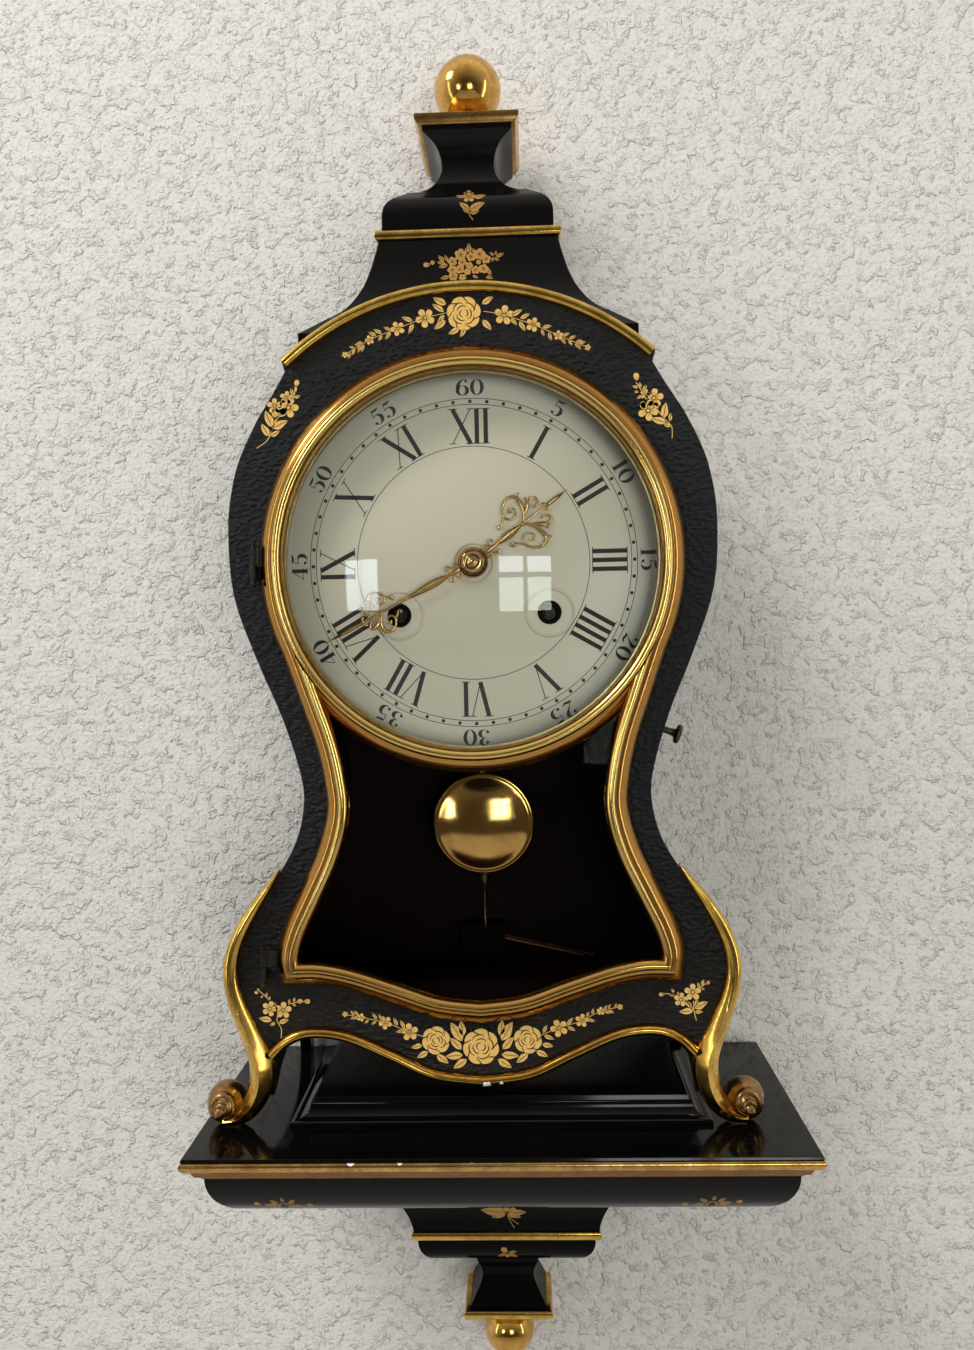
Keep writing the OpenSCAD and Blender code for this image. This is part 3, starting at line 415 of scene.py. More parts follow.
bob_brass = turned_brass("bob_brass", row(0, 34, 132),
    shade(0.88, 0.54, 0.17), shade(0.50, 0.24, 0.07), 0.09)
nut_brass = turned_brass("nut_brass", row(0, 98, DIAL_Z),
    shade(0.90, 0.55, 0.26), shade(0.66, 0.34, 0.12), 0.15)
print("turned brass:", bob_brass.name, nut_brass.name)

# %% [markdown]
# Inside, the case is wood stained dark and then taken almost to black, a painted shade for the closed
# inside of the case. The back board shows raw, waxed wood to the wall, so its finish changes at a depth:
# near-black inside, raw outside.

# %% Wood
def stained_wood(name, light, dark, outside=None):
    """outside: the raw, waxed back of a board, behind this y in millimetres."""
    wood = Finish(name, Specular_IOR_Level=0.08)
    grain = wood.noise(3.5, 5, 0.6, 0.5, at=wood.stretched(1, 1, 0.08))
    pore = wood.band(wood.noise(0.6, 2, at=wood.stretched(1, 1, 0.05)), 0.58, 0.7)
    tone = wood.mix(pore * 0.6, wood.mix(grain, dark, light), dark)
    if outside is not None:
        waxed = wood.mix(grain, shade(0.10, 0.045, 0.018), shade(0.21, 0.11, 0.05))
        raw = wood.mix(pore * 0.5, waxed, shade(0.05, 0.022, 0.01))
        tone = wood.mix(wood.band(wood.part("Y"), outside - 0.3, outside), tone, raw)
    wood.wear(Base_Color=tone, Roughness=0.5 + grain * 0.2)
    wood.relief(grain * 0.5 - pore, 0.08)
    return wood.material


# painted shade: the inside boards are darker than a stain would make them, for the closed inside of the case
STAIN_AND_SHADE = shade(0.0075, 0.0022, 0.002), shade(0.0035, 0.0012, 0.0012)
inside_wood = stained_wood("inside_wood", *STAIN_AND_SHADE)
back_wood = stained_wood("back_wood", *STAIN_AND_SHADE, outside=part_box("back_board")[1].y / MM - 1)
block_black = stained_wood("block_black", shade(0.0022, 0.0012, 0.001), shade(0.0012, 0.0008, 0.0008))
print("woods:", inside_wood.name, back_wood.name, block_black.name)

# %% [markdown]
# ## Dial, print and glass
# The dial is painted cream, slightly uneven, and its print is black ink. Towards the rim the cream turns
# grey-green, a painted shade where the door's ring shades the dial. Glass is thin, so it is not refracted
# here: a mix of clear and mirror, weighed by the angle of view, keeps what is behind it sharp.

# %% Dial paint and ink
def dial_paint():
    paint = Finish("dial_paint", Coat_Weight=0.25, Coat_Roughness=0.12)
    cloud = paint.noise(46, 4, 0.55)
    speck = paint.band(paint.noise(1.3, 5, 0.75), 0.66, 0.74)
    # painted shade: the cream turns grey-green towards the rim, where the door's ring shades the dial
    rim_shade = paint.band(paint.away(row(0, DIAL_D, DIAL_Z)), 78, 97)
    tone = paint.mix(cloud, shade(0.69, 0.64, 0.50), shade(0.745, 0.70, 0.565))
    tone = paint.mix(rim_shade * 0.5, tone, shade(0.50, 0.53, 0.50))
    paint.wear(Base_Color=paint.mix(speck * 0.4, tone, shade(0.42, 0.36, 0.27)),
        Roughness=0.42 + (cloud - 0.5) * 0.1)
    paint.relief(paint.noise(2.5, 3), 0.02)
    return paint.material


def printed_ink():
    ink = Finish("dial_ink")
    cover = ink.band(ink.noise(0.5, 3), 0.60, 0.72)
    ink.wear(Base_Color=ink.mix(cover * 0.4, shade(0.012, 0.010, 0.010), shade(0.06, 0.05, 0.045)),
        Roughness=0.5 + cover * 0.1)
    return ink.material


cream, ink = dial_paint(), printed_ink()
print("dial finishes:", cream.name, ink.name)

# %% Thin glass
def thin_glass(name, strength):
    pane = Finish(name)
    clear = pane.tree.nodes.new("ShaderNodeBsdfTransparent")
    mirror = pane.tree.nodes.new("ShaderNodeBsdfGlossy")
    mirror.inputs["Roughness"].default_value = 0.015
    clear.inputs["Color"].default_value = shade(0.985, 0.99, 0.985)
    facing = pane.node("ShaderNodeFresnel", None, {"IOR": 1.45})
    smear = pane.noise(60, 4, 0.6)
    pane.blended(facing * strength * (0.8 + smear * 0.4), clear, mirror)
    pane.tree.nodes.remove(pane.shader)
    return pane.material


dome_glass = thin_glass("dome_glass", 0.85)
pane_glass = thin_glass("pane_glass", 0.05)
print("glasses:", dome_glass.name, pane_glass.name)

# %% [markdown]
# ## Small helpers of the bench
# Operators act on whatever is selected, and the frame arrives selected, so every helper starts with
# nothing selected. A finished piece has its place in its mesh: the last step of each one applies it.

# %% Bench helpers
def alone(piece=None):
    if bpy.context.object and bpy.context.object.mode != "OBJECT":
        bpy.ops.object.mode_set(mode="OBJECT")
    bpy.ops.object.select_all(action="DESELECT")
    if piece:
        piece.select_set(True)
        bpy.context.view_layer.objects.active = piece


def placed(name, data):
    """A mesh, a curve or a lamp, put into the scene."""
    piece = bpy.data.objects.new(name, data)
    bpy.context.scene.collection.objects.link(piece)
    return piece


def edit(piece):
    alone(piece)
    bpy.ops.object.mode_set(mode="EDIT")
    bpy.ops.mesh.select_all(action="SELECT")


def settle(piece, angle=35):
    """Places applied, doubles merged, faces outwards, soft edges shaded smooth."""
    alone(piece)
    bpy.ops.object.transform_apply(location=True, rotation=True, scale=True)
    edit(piece)
    bpy.ops.mesh.remove_doubles(threshold=0.004 * MM)
    bpy.ops.mesh.normals_make_consistent(inside=False)
    alone(piece)
    bpy.ops.object.shade_smooth_by_angle(angle=math.radians(angle))
    return piece


def stand(piece, d, x=0.0, z=0.0, turn=0.0):
    """Lifts a piece drawn flat, x right and y up, to depth d on the clock, turned clockwise."""
    piece.matrix_world = Matrix.Translation(row(x, d, z)) @ Matrix.Rotation(math.radians(90), 4, "X") \
        @ Matrix.Rotation(math.radians(-turn), 4, "Z")
    alone(piece)
    bpy.ops.object.transform_apply(location=True, rotation=True, scale=True)
    return piece


print("bench ready")

# %% [markdown]
# Edges are softened and holes are cut with modifiers that are applied at once. A finished piece is then
# dressed: it gets its material, the body that it rides on, and the sub-part that it stands for.

# %% Edges, cuts and dress
def bevelled(piece, width, angle):
    alone(piece)
    bevel = piece.modifiers.new("edge", "BEVEL")
    bevel.width, bevel.segments = width * MM, 2
    bevel.limit_method, bevel.angle_limit = "ANGLE", math.radians(angle)
    bpy.ops.object.modifier_apply(modifier=bevel.name)
    return piece


def carved(piece, tool):
    """Cuts a tool's shape out of a piece and puts the tool away."""
    alone(piece)
    cut = piece.modifiers.new("cut", "BOOLEAN")
    cut.operation, cut.object, cut.solver = "DIFFERENCE", tool, "EXACT"
    bpy.ops.object.modifier_apply(modifier=cut.name)
    bpy.data.objects.remove(tool)


def dressed(piece, finish, body, slot, *nodes):
    """Gives a finished piece its material, its body and the sub-parts that it stands for; slot is not used.
    """
    piece.data.materials.clear()
    piece.data.materials.append(finish)
    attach(piece, body)
    if nodes:
        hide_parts(*nodes)
    return piece


def joined(name, pieces):
    alone(pieces[0])
    for piece in pieces:
        piece.select_set(True)
    bpy.ops.object.join()
    pieces[0].name = name
    return pieces[0]


print("edges, cuts and dress ready")

# %% [markdown]
# Most outlines here are a few measured points with a smooth curve through them. The curve also carries a
# pen's width or a wire's radius along, as a third value of each point. A tube is swept along its rows by
# Blender's own curve, and then turned into a mesh.

# %% Smooth curves
def smooth_curve(points, steps):
    """A curve through a few points, for any number of values a point."""
    line = []
    for k in range(len(points) - 1):
        a, b, c, d = (points[max(k - 1, 0)], points[k], points[k + 1], points[min(k + 2, len(points) - 1)])
        for s in range(steps):
            t = s / steps
            line.append([0.5 * (2 * q + (r - p) * t + (2 * p - 5 * q + 4 * r - u) * t * t
                + (3 * q - p - 3 * r + u) * t ** 3) for p, q, r, u in zip(a, b, c, d)])
    return line + [list(points[-1])]


print("half way along a bent line:", smooth_curve([[0, 0], [1, 1], [2, 0]], 2)[1])

# %% Tubes
def tube(name, rows, resolution):
    """rows: x, y, z and radius in millimetres."""
    curve = bpy.data.curves.new(name, "CURVE")
    curve.dimensions = "3D"
    curve.bevel_depth, curve.bevel_resolution, curve.use_fill_caps = MM, resolution, True
    line = curve.splines.new("POLY")
    line.points.add(len(rows) - 1)
    for point, (x, y, z, radius) in zip(line.points, rows):
        point.co, point.radius = (x * MM, y * MM, z * MM, 1), radius
    alone(placed(name, curve))
    bpy.ops.object.convert(target="MESH")
    return bpy.context.object


print("tubes take", tube.__doc__)

# %% [markdown]
# ## Turned pieces
# Balls, the bob, the hands' nut and the knob come off a lathe. The same is done here: a circle is added,
# then extruded and resized ring by ring along the profile, and the poles are merged.

# %% A lathe
def turned(name, profile, sides=72):
    """profile: rows of radius and height, in millimetres, from one end to the other."""
    alone()
    bpy.ops.mesh.primitive_circle_add(vertices=sides, radius=max(profile[0][0], 0.001) * MM,
        location=(0, 0, profile[0][1] * MM))
    piece = bpy.context.object
    piece.name = name
    edit(piece)
    for (r0, h0), (r1, h1) in zip(profile, profile[1:]):
        share = max(r1, 0.001) / max(r0, 0.001)
        bpy.ops.mesh.extrude_edges_move(TRANSFORM_OT_translate={"value": (0, 0, (h1 - h0) * MM)})
        bpy.ops.transform.resize(value=(share, share, 1), center_override=(0, 0, h1 * MM))
    return settle(piece, 40)


def ball_profile(radius, neck_r, neck_h, steps=26):
    start = math.asin(neck_r / radius)
    rings = [(neck_r * 1.35, 0), (neck_r * 1.3, 0.6), (neck_r, neck_h * 0.7)]
    low = radius * math.cos(start)
    for k in range(steps + 1):
        angle = start + (math.pi - start) * k / steps
        rings.append((radius * math.sin(angle), neck_h + low - radius * math.cos(angle)))
    return rings


low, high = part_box("crown_ball")
top_ball = turned("crown_ball_gilt", [(0, 0)] + ball_profile(17.5, 5.2, 5.6))
top_ball.matrix_world = Matrix.Translation(((low.x + high.x) / 2, (low.y + high.y) / 2, low.z))
dressed(settle(top_ball), ball_gilt, "case", "gilt", "crown_ball")
low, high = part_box("bracket_ball")
drop_ball = turned("bracket_ball_gilt", [(0, 0)] + ball_profile(13.6, 6.8, 2.2))
drop_ball.matrix_world = Matrix.Translation(((low.x + high.x) / 2, (low.y + high.y) / 2, high.z)) \
    @ Matrix.Rotation(math.pi, 4, "X")
dressed(settle(drop_ball), ball_gilt, "bracket", "gilt", "bracket_ball")
print("balls:", [tuple(round(v * 1000) for v in p.dimensions) for p in (top_ball, drop_ball)])

# %% [markdown]
# ## Mitred mouldings of the crown and the bracket
# Every tier of the crown and the bracket is a square block with the same curve cut on three sides, mitred
# at the front corners and flat against the wall. A plane is added at the foot and extruded upwards in
# short steps; each step is resized about a point on the back, so the back stays flat and the front and
# sides follow the curve. A fine bevel takes the sharpness off the mitres, as sanding does.

# %% Mitred blocks
def mitred(name, steps, x, back, finish, body, slot, node, edge=0.45):
    """steps: rows of half width, front depth and height over the hanging screws, in millimetres."""
    half, deep, height = steps[0]
    alone()
    bpy.ops.mesh.primitive_plane_add(size=MM, location=(x * MM, -(back + deep) / 2 * MM, height * MM))
    piece = bpy.context.object
    piece.name = name
    edit(piece)
    bpy.ops.transform.resize(value=(2 * half, deep - back, 1))
    for (h0, d0, z0), (h1, d1, z1) in zip(steps, steps[1:]):
        bpy.ops.mesh.extrude_region_move(TRANSFORM_OT_translate={"value": (0, 0, (z1 - z0) * MM)})
        bpy.ops.transform.resize(value=(h1 / h0, (d1 - back) / (d0 - back), 1),
            center_override=(x * MM, -back * MM, z1 * MM))
    settle(piece, 30)
    bevelled(piece, edge, 55)
    settle(piece, 30)
    return dressed(piece, finish, body, slot, node)


def crown_tier(name, steps, finish, slot, node, edge=0.45):
    return mitred(name, steps, CLOCK_X, BACK_D, finish, "case", slot, node, edge)


def bracket_tier(name, steps, finish, slot, node, edge=0.45, back=0):
    return mitred(name, steps, 0, back, finish, "bracket", slot, node, edge)


print("mitred blocks can be made for the case and the bracket")

# %% [markdown]
# The crown tapers towards the top, and its front leans back with it: for every millimetre that a side comes
# in, the front comes back by two thirds. So a tier of the crown needs only its half widths and heights.

# %% The crown's skirt and cap
SKIRT_HALF = 80.5


def crown_deep(half):
    return FRONT_D - 6 - (SKIRT_HALF - half) * 0.667


def crown_steps(points, steps):
    return [(h, crown_deep(h), z + SHELF_Z) for h, z in smooth_curve(points, steps)]


cap_low = [[42.4, 432.5], [42.4, 440], [41.6, 444.5], [38.5, 449], [32.8, 452.6], [30.5, 454.2]]
cap_high = [[30.5, 454.2], [24.5, 456.2], [19.6, 459.4], [15.4, 464.5], [13.4, 471], [14.2, 477.5],
    [17.2, 483], [22.6, 487.4]]
cap = crown_steps(cap_low, 5) + crown_steps(cap_high, 6)[1:] + [(22.8, crown_deep(22.8), 489.5 + SHELF_Z)]
crown_cap = crown_tier("crown_cap_black", cap, lacquer, "black_lacquer", "crown_cap")
skirt_line = [[SKIRT_HALF, 376.5], [70, 384], [60, 391.5], [53, 401], [49, 410], [46.3, 419], [44.2, 427.5]]
skirt = [(SKIRT_HALF, crown_deep(SKIRT_HALF), 369 + SHELF_Z)] + crown_steps(skirt_line, 6)
crown_skirt = crown_tier("crown_skirt_black", skirt, lacquer, "black_lacquer", "crown_skirt")
print("skirt is", [round(v * 1000, 1) for v in crown_skirt.dimensions], "mm")

# %% [markdown]
# Behind the gilt arch a round vault closes the crown's foot: a disc, extruded back and cut off level by
# bisecting it. Above the cap lies a square gilt slab, and a gilt bead parts the skirt from the cap.

# %% The crown's vault, slab and bead
alone()
bpy.ops.mesh.primitive_circle_add(vertices=192, radius=128.0 * MM, fill_type="NGON",
    location=row(0, FRONT_D - 6.1, DIAL_Z), rotation=(math.radians(90), 0, 0))
vault = bpy.context.object
edit(vault)
bpy.ops.mesh.extrude_region_move(TRANSFORM_OT_translate={"value": (0, 17.8 * MM, 0)})
bpy.ops.mesh.select_all(action="SELECT")
bpy.ops.mesh.bisect(plane_co=row(0, 0, 369), plane_no=(0, 0, 1), use_fill=True, clear_inner=True)
settle(vault, 30)
dressed(settle(bevelled(vault, 0.4, 55), 30), lacquer, "case", "black_lacquer")
vault.name = "crown_vault_black"
slab = crown_steps([[24.4, 489.5], [25.2, 490.5], [26.4, 492.9], [26.4, 495.1]], 1)
crown_tier("crown_abacus_gilt", slab, edge_gilt, "gilt", "crown_abacus", 0.3)


def round_steps(half, deep, base, out, height=5, steps=8):
    """A bead: a block whose sides swell out and come back."""
    rows = [(half, deep, base)]
    for k in range(1, steps):
        angle = math.pi * k / steps
        swell = out * math.sin(angle)
        rows.append((half + swell, deep + swell, base + height / 2 * (1 - math.cos(angle))))
    return rows + [(half, deep, base + height)]


crown_tier("crown_bead_gilt", round_steps(44.4, crown_deep(44.4), 427.5 + SHELF_Z, 1.6), bead_gilt, "gilt",
    "crown_bead", 0.2)
print("crown stands")

# %% [markdown]
# The shelf is a black board over a bowl that curves in to the corbel, and the corbel ends in a bead, a cup
# and a pendant. All of them run back to the wall. Two pockets are cut in the back of the bowl and of the
# corbel, where the hanger plates lie.

# %% The shelf, the bowl and the corbel
def quarter_round(half, deep, top, wide, high, steps=14):
    """A block that curves in from its upright side to its underside, listed from below."""
    rows = []
    for k in range(steps, -1, -1):
        angle = math.pi / 2 * k / steps
        inward = wide * (1 - math.cos(angle))
        rows.append((half - inward, deep - inward, top - high * math.sin(angle)))
    return rows


BOARD_HALF, BOARD_DEEP = 134.5, 134
bowl = quarter_round(BOARD_HALF, BOARD_DEEP, SHELF_Z - 12, 26, 24)
bowl_piece = bracket_tier("bracket_bowl_black", bowl, shelf_lacquer, "black_lacquer", "bracket_bowl")
board = [(BOARD_HALF, BOARD_DEEP, -12), (BOARD_HALF, BOARD_DEEP, -2), (142.4, 141.9, -2),
    (142.8, 142.3, -1.2), (142.4, 141.9, 0)]
bracket_tier("shelf_board_black", [(h, d, z + SHELF_Z) for h, d, z in board], shelf_lacquer,
    "black_lacquer", "shelf_board", 0.25)
corbel_line = smooth_curve([[84, -36], [73, -42], [61, -54], [54.5, -66], [51, -74], [49.4, -80],
    [49.2, -82]], 6)
corbel = [(h, h, z + SHELF_Z) for h, z in reversed(corbel_line)]
corbel_piece = bracket_tier("bracket_corbel_black", corbel, bracket_lacquer, "black_lacquer",
    "bracket_corbel")
HANGER_X = 44
for tier in (bowl_piece, corbel_piece):
    for x in (-HANGER_X, HANGER_X):
        alone()
        bpy.ops.mesh.primitive_cube_add(size=MM, location=(x * MM, -3.5 * MM, 0), scale=(16, 9, 30))
        carved(tier, bpy.context.object)
print("bowl is", [round(v * 1000, 1) for v in bowl_piece.dimensions], "mm")

# %% Below the corbel, and the block on the shelf
bracket_tier("bracket_bead_gilt", round_steps(48.6, 48.6, SHELF_Z - 87, 1.5), bead_gilt, "gilt",
    "bracket_bead", 0.2)
cup = quarter_round(47.1, 47.1, SHELF_Z - 88, 16, 16) + [(47.1, 47.1, SHELF_Z - 87)]
cup_piece = bracket_tier("bracket_cup_black", cup, bracket_lacquer, "black_lacquer", "bracket_cup")
pendant_line = smooth_curve([[17.3, 0], [16.6, -4], [14.6, -9], [14, -14], [15.5, -18], [18.3, -23],
    [20.6, -27], [20.6, -28]], 5)
pendant = [(h, h + 13.5, z + SHELF_Z - 104) for h, z in reversed(pendant_line)]
bracket_tier("bracket_pendant_black", pendant, bracket_lacquer, "black_lacquer", "bracket_pendant")
bracket_tier("pendant_edge_gilt", round_steps(22.5, 36, SHELF_Z - 137, 1.5), bead_gilt, "gilt",
    "pendant_gilt_edge", 0.2)
plinth = [(100, 109, 0), (100, 109, 2)]
for k in range(11):
    sweep = math.radians(9 * k)
    plinth.append((99 - 8 * math.sin(sweep), 109 - 0.6 * (1 + 8 * math.sin(sweep)),
        2.5 + 7 * (1 - math.cos(sweep))))
plinth += [(90, 103, 9.5), (89, 102.4, 12)]
bracket_tier("shelf_plinth_black", [(h, d, z + SHELF_Z) for h, d, z in plinth], shelf_lacquer,
    "black_lacquer", "shelf_plinth", 0.3, 12)
print("bracket hangs")

# %% [markdown]
# ## Run mouldings
# A gilt moulding is one section run along a line. Blender's curve sweep pinches the section where the line
# turns sharply, as at the door's corners, so here a row of section points is laid at every point of the
# line and widened at the corners, as a mitre is. The section may change along the run, which the legs need.

# %% Running a section along a line
def mitre_at(line, k, closed):
    n = len(line)
    before = Vector(line[k]) - Vector(line[k - 1 if closed else max(k - 1, 0)])
    after = Vector(line[(k + 1) % n if closed else min(k + 1, n - 1)]) - Vector(line[k])
    before = before if before.length > 1e-9 else after
    after = after if after.length > 1e-9 else before
    a, b = (Vector((-v.y, v.x)).normalized() for v in (before, after))
    middle = (a + b).normalized()
    return middle / max(middle.dot(a), 0.3)


def run_moulding(name, line, section, closed=False):
    """section: rows of across and out, in millimetres, or a rule that gives them for a share of the run."""
    n = len(line)
    places = []
    for k in range(n):
        rows = section(k / (n - 1)) if callable(section) else section
        across = mitre_at(line, k, closed)
        for s, out in rows:
            places.append((line[k][0] + across.x * s, line[k][1] + across.y * s, out))
    m = len(rows)
    faces = [(k * m + j, k * m + (j + 1) % m, (k + 1) % n * m + (j + 1) % m, (k + 1) % n * m + j)
        for k in range(n if closed else n - 1) for j in range(m)]
    if not closed:
        faces += [tuple(range(m)), tuple((n - 1) * m + j for j in range(m))]
    mesh = bpy.data.meshes.new(name)
    mesh.from_pydata([tuple(v * MM for v in place) for place in places], [], faces)
    return placed(name, mesh)


def circle_line(radius, start, end, steps):
    """Points round a circle, clockwise from its top, in degrees."""
    angles = [math.radians(start + (end - start) * k / steps) for k in range(steps + 1)]
    return [(radius * math.sin(a), radius * math.cos(a)) for a in angles]


def mirrored(line):
    return [(-x, z) for x, z in reversed(line)]


print("a mitre at a right angle widens by", round(mitre_at([(0, 0), (1, 0), (1, 1)], 1, False).length, 3))

# %% [markdown]
# ## The door's moulding
# One ogee with a bead runs round the dial and down round the pendulum's window. The bead stands on the
# inner edge against the glass; a narrow quirk parts it from the long outer slope. The ring is closed. The
# lower part leaves the ring along the ring's own direction, so the outer slope runs on without a step,
# while its bead parts from the ring's bead in a narrow fork. It turns sharply at two corners below.

# %% The door's moulding
door_section = [(3, 0), (3, 3.4), (0, 3.4), (0, 5.2), (0.25, 6.3), (0.8, 7.45), (1.5, 8.25), (2.35, 8.8),
    (3.25, 9.0), (4.05, 8.75), (4.7, 8.1), (5.1, 7.4), (5.35, 6.9), (5.65, 6.75), (6.3, 6.6), (7.4, 5.95),
    (8.6, 4.95), (9.8, 3.75), (10.6, 2.8), (11, 2.3), (11, 0)]
ring = run_moulding("door_ring", circle_line(SIGHT_R, 0, 357.5, 143), door_section, closed=True)
lead = [[x, z + DIAL_Z] for x, z in circle_line(SIGHT_R + FRAME_W / 2, 108, 115, 1)]
frame_side = lead + [[75.9, 202], [69.6, 183], [66, 166], [65, 150], [70, 130.5], [79, 111], [86.6, 95],
    [90, 83], [89, 74.6]]
frame_foot = [[89, 74.6], [76, 74.6], [61, 71.6], [41, 65], [20.5, 58], [0, 55.4]]
half_line = smooth_curve(frame_side, 8)[8:] + smooth_curve(frame_foot, 8)[1:]
door_line = half_line + mirrored(half_line)[1:]
foot_section = [(s - FRAME_W / 2, out + (0.03 if out > 4 else 0)) for s, out in door_section]
foot = run_moulding("door_foot", door_line, foot_section)
stand(ring, DOOR_D, 0, DIAL_Z)
stand(foot, DOOR_D)
alone()
bpy.ops.mesh.primitive_cylinder_add(vertices=144, radius=(SIGHT_R + 5.2) * MM, depth=30 * MM,
    location=row(0, DOOR_D, DIAL_Z), rotation=(math.radians(90), 0, 0))
bore = bpy.context.object
carved(settle(foot), bore)
radii = [((Vector(v.co) - row(0, DOOR_D, DIAL_Z)).xz.length * 1000) for v in ring.data.vertices]
print("door ring from", round(min(radii), 1), "to", round(max(radii), 1), "mm")
door_piece = joined("door_moulding", [ring, foot])
dressed(settle(door_piece, 38), door_gilt, "door", "gilt_door", "door_frame")

# %% [markdown]
# ## Arch, apron and shelf edge
# The arch over the dial and the apron's lower edge are half-round beads, the apron's with a few chips.
# The shelf's edge is a nosing whose lower fillet is darkened as painted shade, and it runs round three sides
# under the black top.

# %% Beads and the shelf's nosing
def half_round(width, height, steps=12):
    return [(-width / 2 * math.cos(math.pi * k / steps), height * math.sin(math.pi * k / steps) ** 0.85)
        for k in range(steps + 1)]


arch_piece = run_moulding("arch_bead", circle_line(127.2, -42.4, 42.4, 96), half_round(5.4, 2.97))
stand(arch_piece, FRONT_D, 0, DIAL_Z)
dressed(settle(arch_piece), moulding_gilt, "case", "gilt", "arch_moulding")
apron_half = smooth_curve([[99.8, 34.6], [92.4, 41.6], [81, 45.4], [64, 43.4], [42.5, 34], [22.4, 24.8],
    [0, 21.8]], 8)
apron_piece = run_moulding("apron_bead", apron_half + mirrored(apron_half)[1:], half_round(5.4, 4.1))
stand(apron_piece, FRONT_D)
dressed(settle(apron_piece), apron_gilt, "case", "gilt", "apron_moulding")
nosing = [(0, -2), (8.2, -2), (8.8, -2.7), (9, -3.6), (8.6, -4.9), (7.8, -5.9), (6.8, -6.6), (4.9, -7.5),
    (4.3, -8.5), (3.9, -9.4), (3.1, -10.4), (1.2, -10.9), (0.8, -12), (0, -12)]
round_board = [(-BOARD_HALF, 0), (-BOARD_HALF, -BOARD_DEEP), (BOARD_HALF, -BOARD_DEEP), (BOARD_HALF, 0)]
edge_piece = run_moulding("shelf_nosing", round_board, [(-s, out) for s, out in nosing])
edge_piece.location = (0, 0, SHELF_Z * MM)
dressed(settle(edge_piece), edge_gilt, "bracket", "gilt", "shelf_gilt_edge")
print("nosing is", [round(v * 1000, 1) for v in edge_piece.dimensions], "mm")

# %% [markdown]
# ## The legs and the snail feet
# This is the carver's best work on the clock. Each leg starts as a thread on the waist's edge, swells to a
# rounded moulding on the hip, gathers to a sharp ridge where the apron's bead joins it, then turns under
# and curls into a snail. The section is blended from a round to a ridge along the run. The snail is one
# tube on a shrinking spiral that also comes forward, so its whorls overlap as a shell's do.

# %% The leg's line and section
LEG = [[94, 123], [99.4, 115], [106.2, 105.4], [113, 94], [117.4, 82.4], [118.3, 70.4], [115.6, 58.6],
    [110.4, 45.5], [106.6, 36], [105, 28], [106, 19.5], [109, 12.4], [113.4, 7.2], [118.5, 4.3],
    [123.8, 3.3]]
LEG_W = [0.8, 3.4, 5.4, 7, 7.6, 8, 8.8, 10.2, 11.4, 11.8, 11.2, 10.2, 9.0, 7.4, 5.8]


def leg_section(place):
    at = place * (len(LEG_W) - 1)
    k = min(int(at), len(LEG_W) - 2)
    width = LEG_W[k] + (LEG_W[k + 1] - LEG_W[k]) * (at - k)
    height = 6.0 * min(1, 0.30 + 0.75 * width / 12) * (1 if place < 0.8 else 1 - (place - 0.8) * 1.2)
    sharp = min(max((place - 0.34) / 0.22, 0), 1)
    rows = [(-width / 2, -0.6 * height)]
    for j in range(15):
        s = -1 + 2 * j / 14
        round_top = math.sqrt(max(1 - s * s, 0)) ** 0.9
        ridge = 0.30 * math.sqrt(max(1 - s * s, 0)) + 0.70 * (1 - abs(s)) ** 1.15
        rows.append((s * width / 2, height * (round_top * (1 - sharp) + ridge * sharp)))
    return rows + [(width / 2, -0.6 * height)]


print("the leg is widest at", max(LEG_W), "mm")

# %% A snail
SNAIL_X, SNAIL_Z = 123.6, 10.2


def snail(name, x, z, turns=2.55, steps=92):
    """A tube on a shrinking spiral; depths are counted from the front board's face."""
    rows = []
    for k in range(steps + 1):
        share = k / steps
        angle = math.radians(-100 + 360 * turns * share)
        shrink = math.exp(-1.75 * share)
        reach = 5.5 * shrink
        rows.append((x + reach * math.cos(angle), z + reach * math.sin(angle), -3.4 + 13.2 * share ** 0.9,
            4.6 * shrink * (1 if share > 0.06 else 0.72 + 4.7 * share)))
    return tube(name, rows, 5)


print("snails turn about", (SNAIL_X, SNAIL_Z))

# %% [markdown]
# The shell's tube is wound round a turned core with a fine turned tip, and its outer end grows out of a flat
# toe. Both feet are made the same way, and one is mirrored by a flip of its meshes before they are settled,
# so that the normals are made consistent after it.

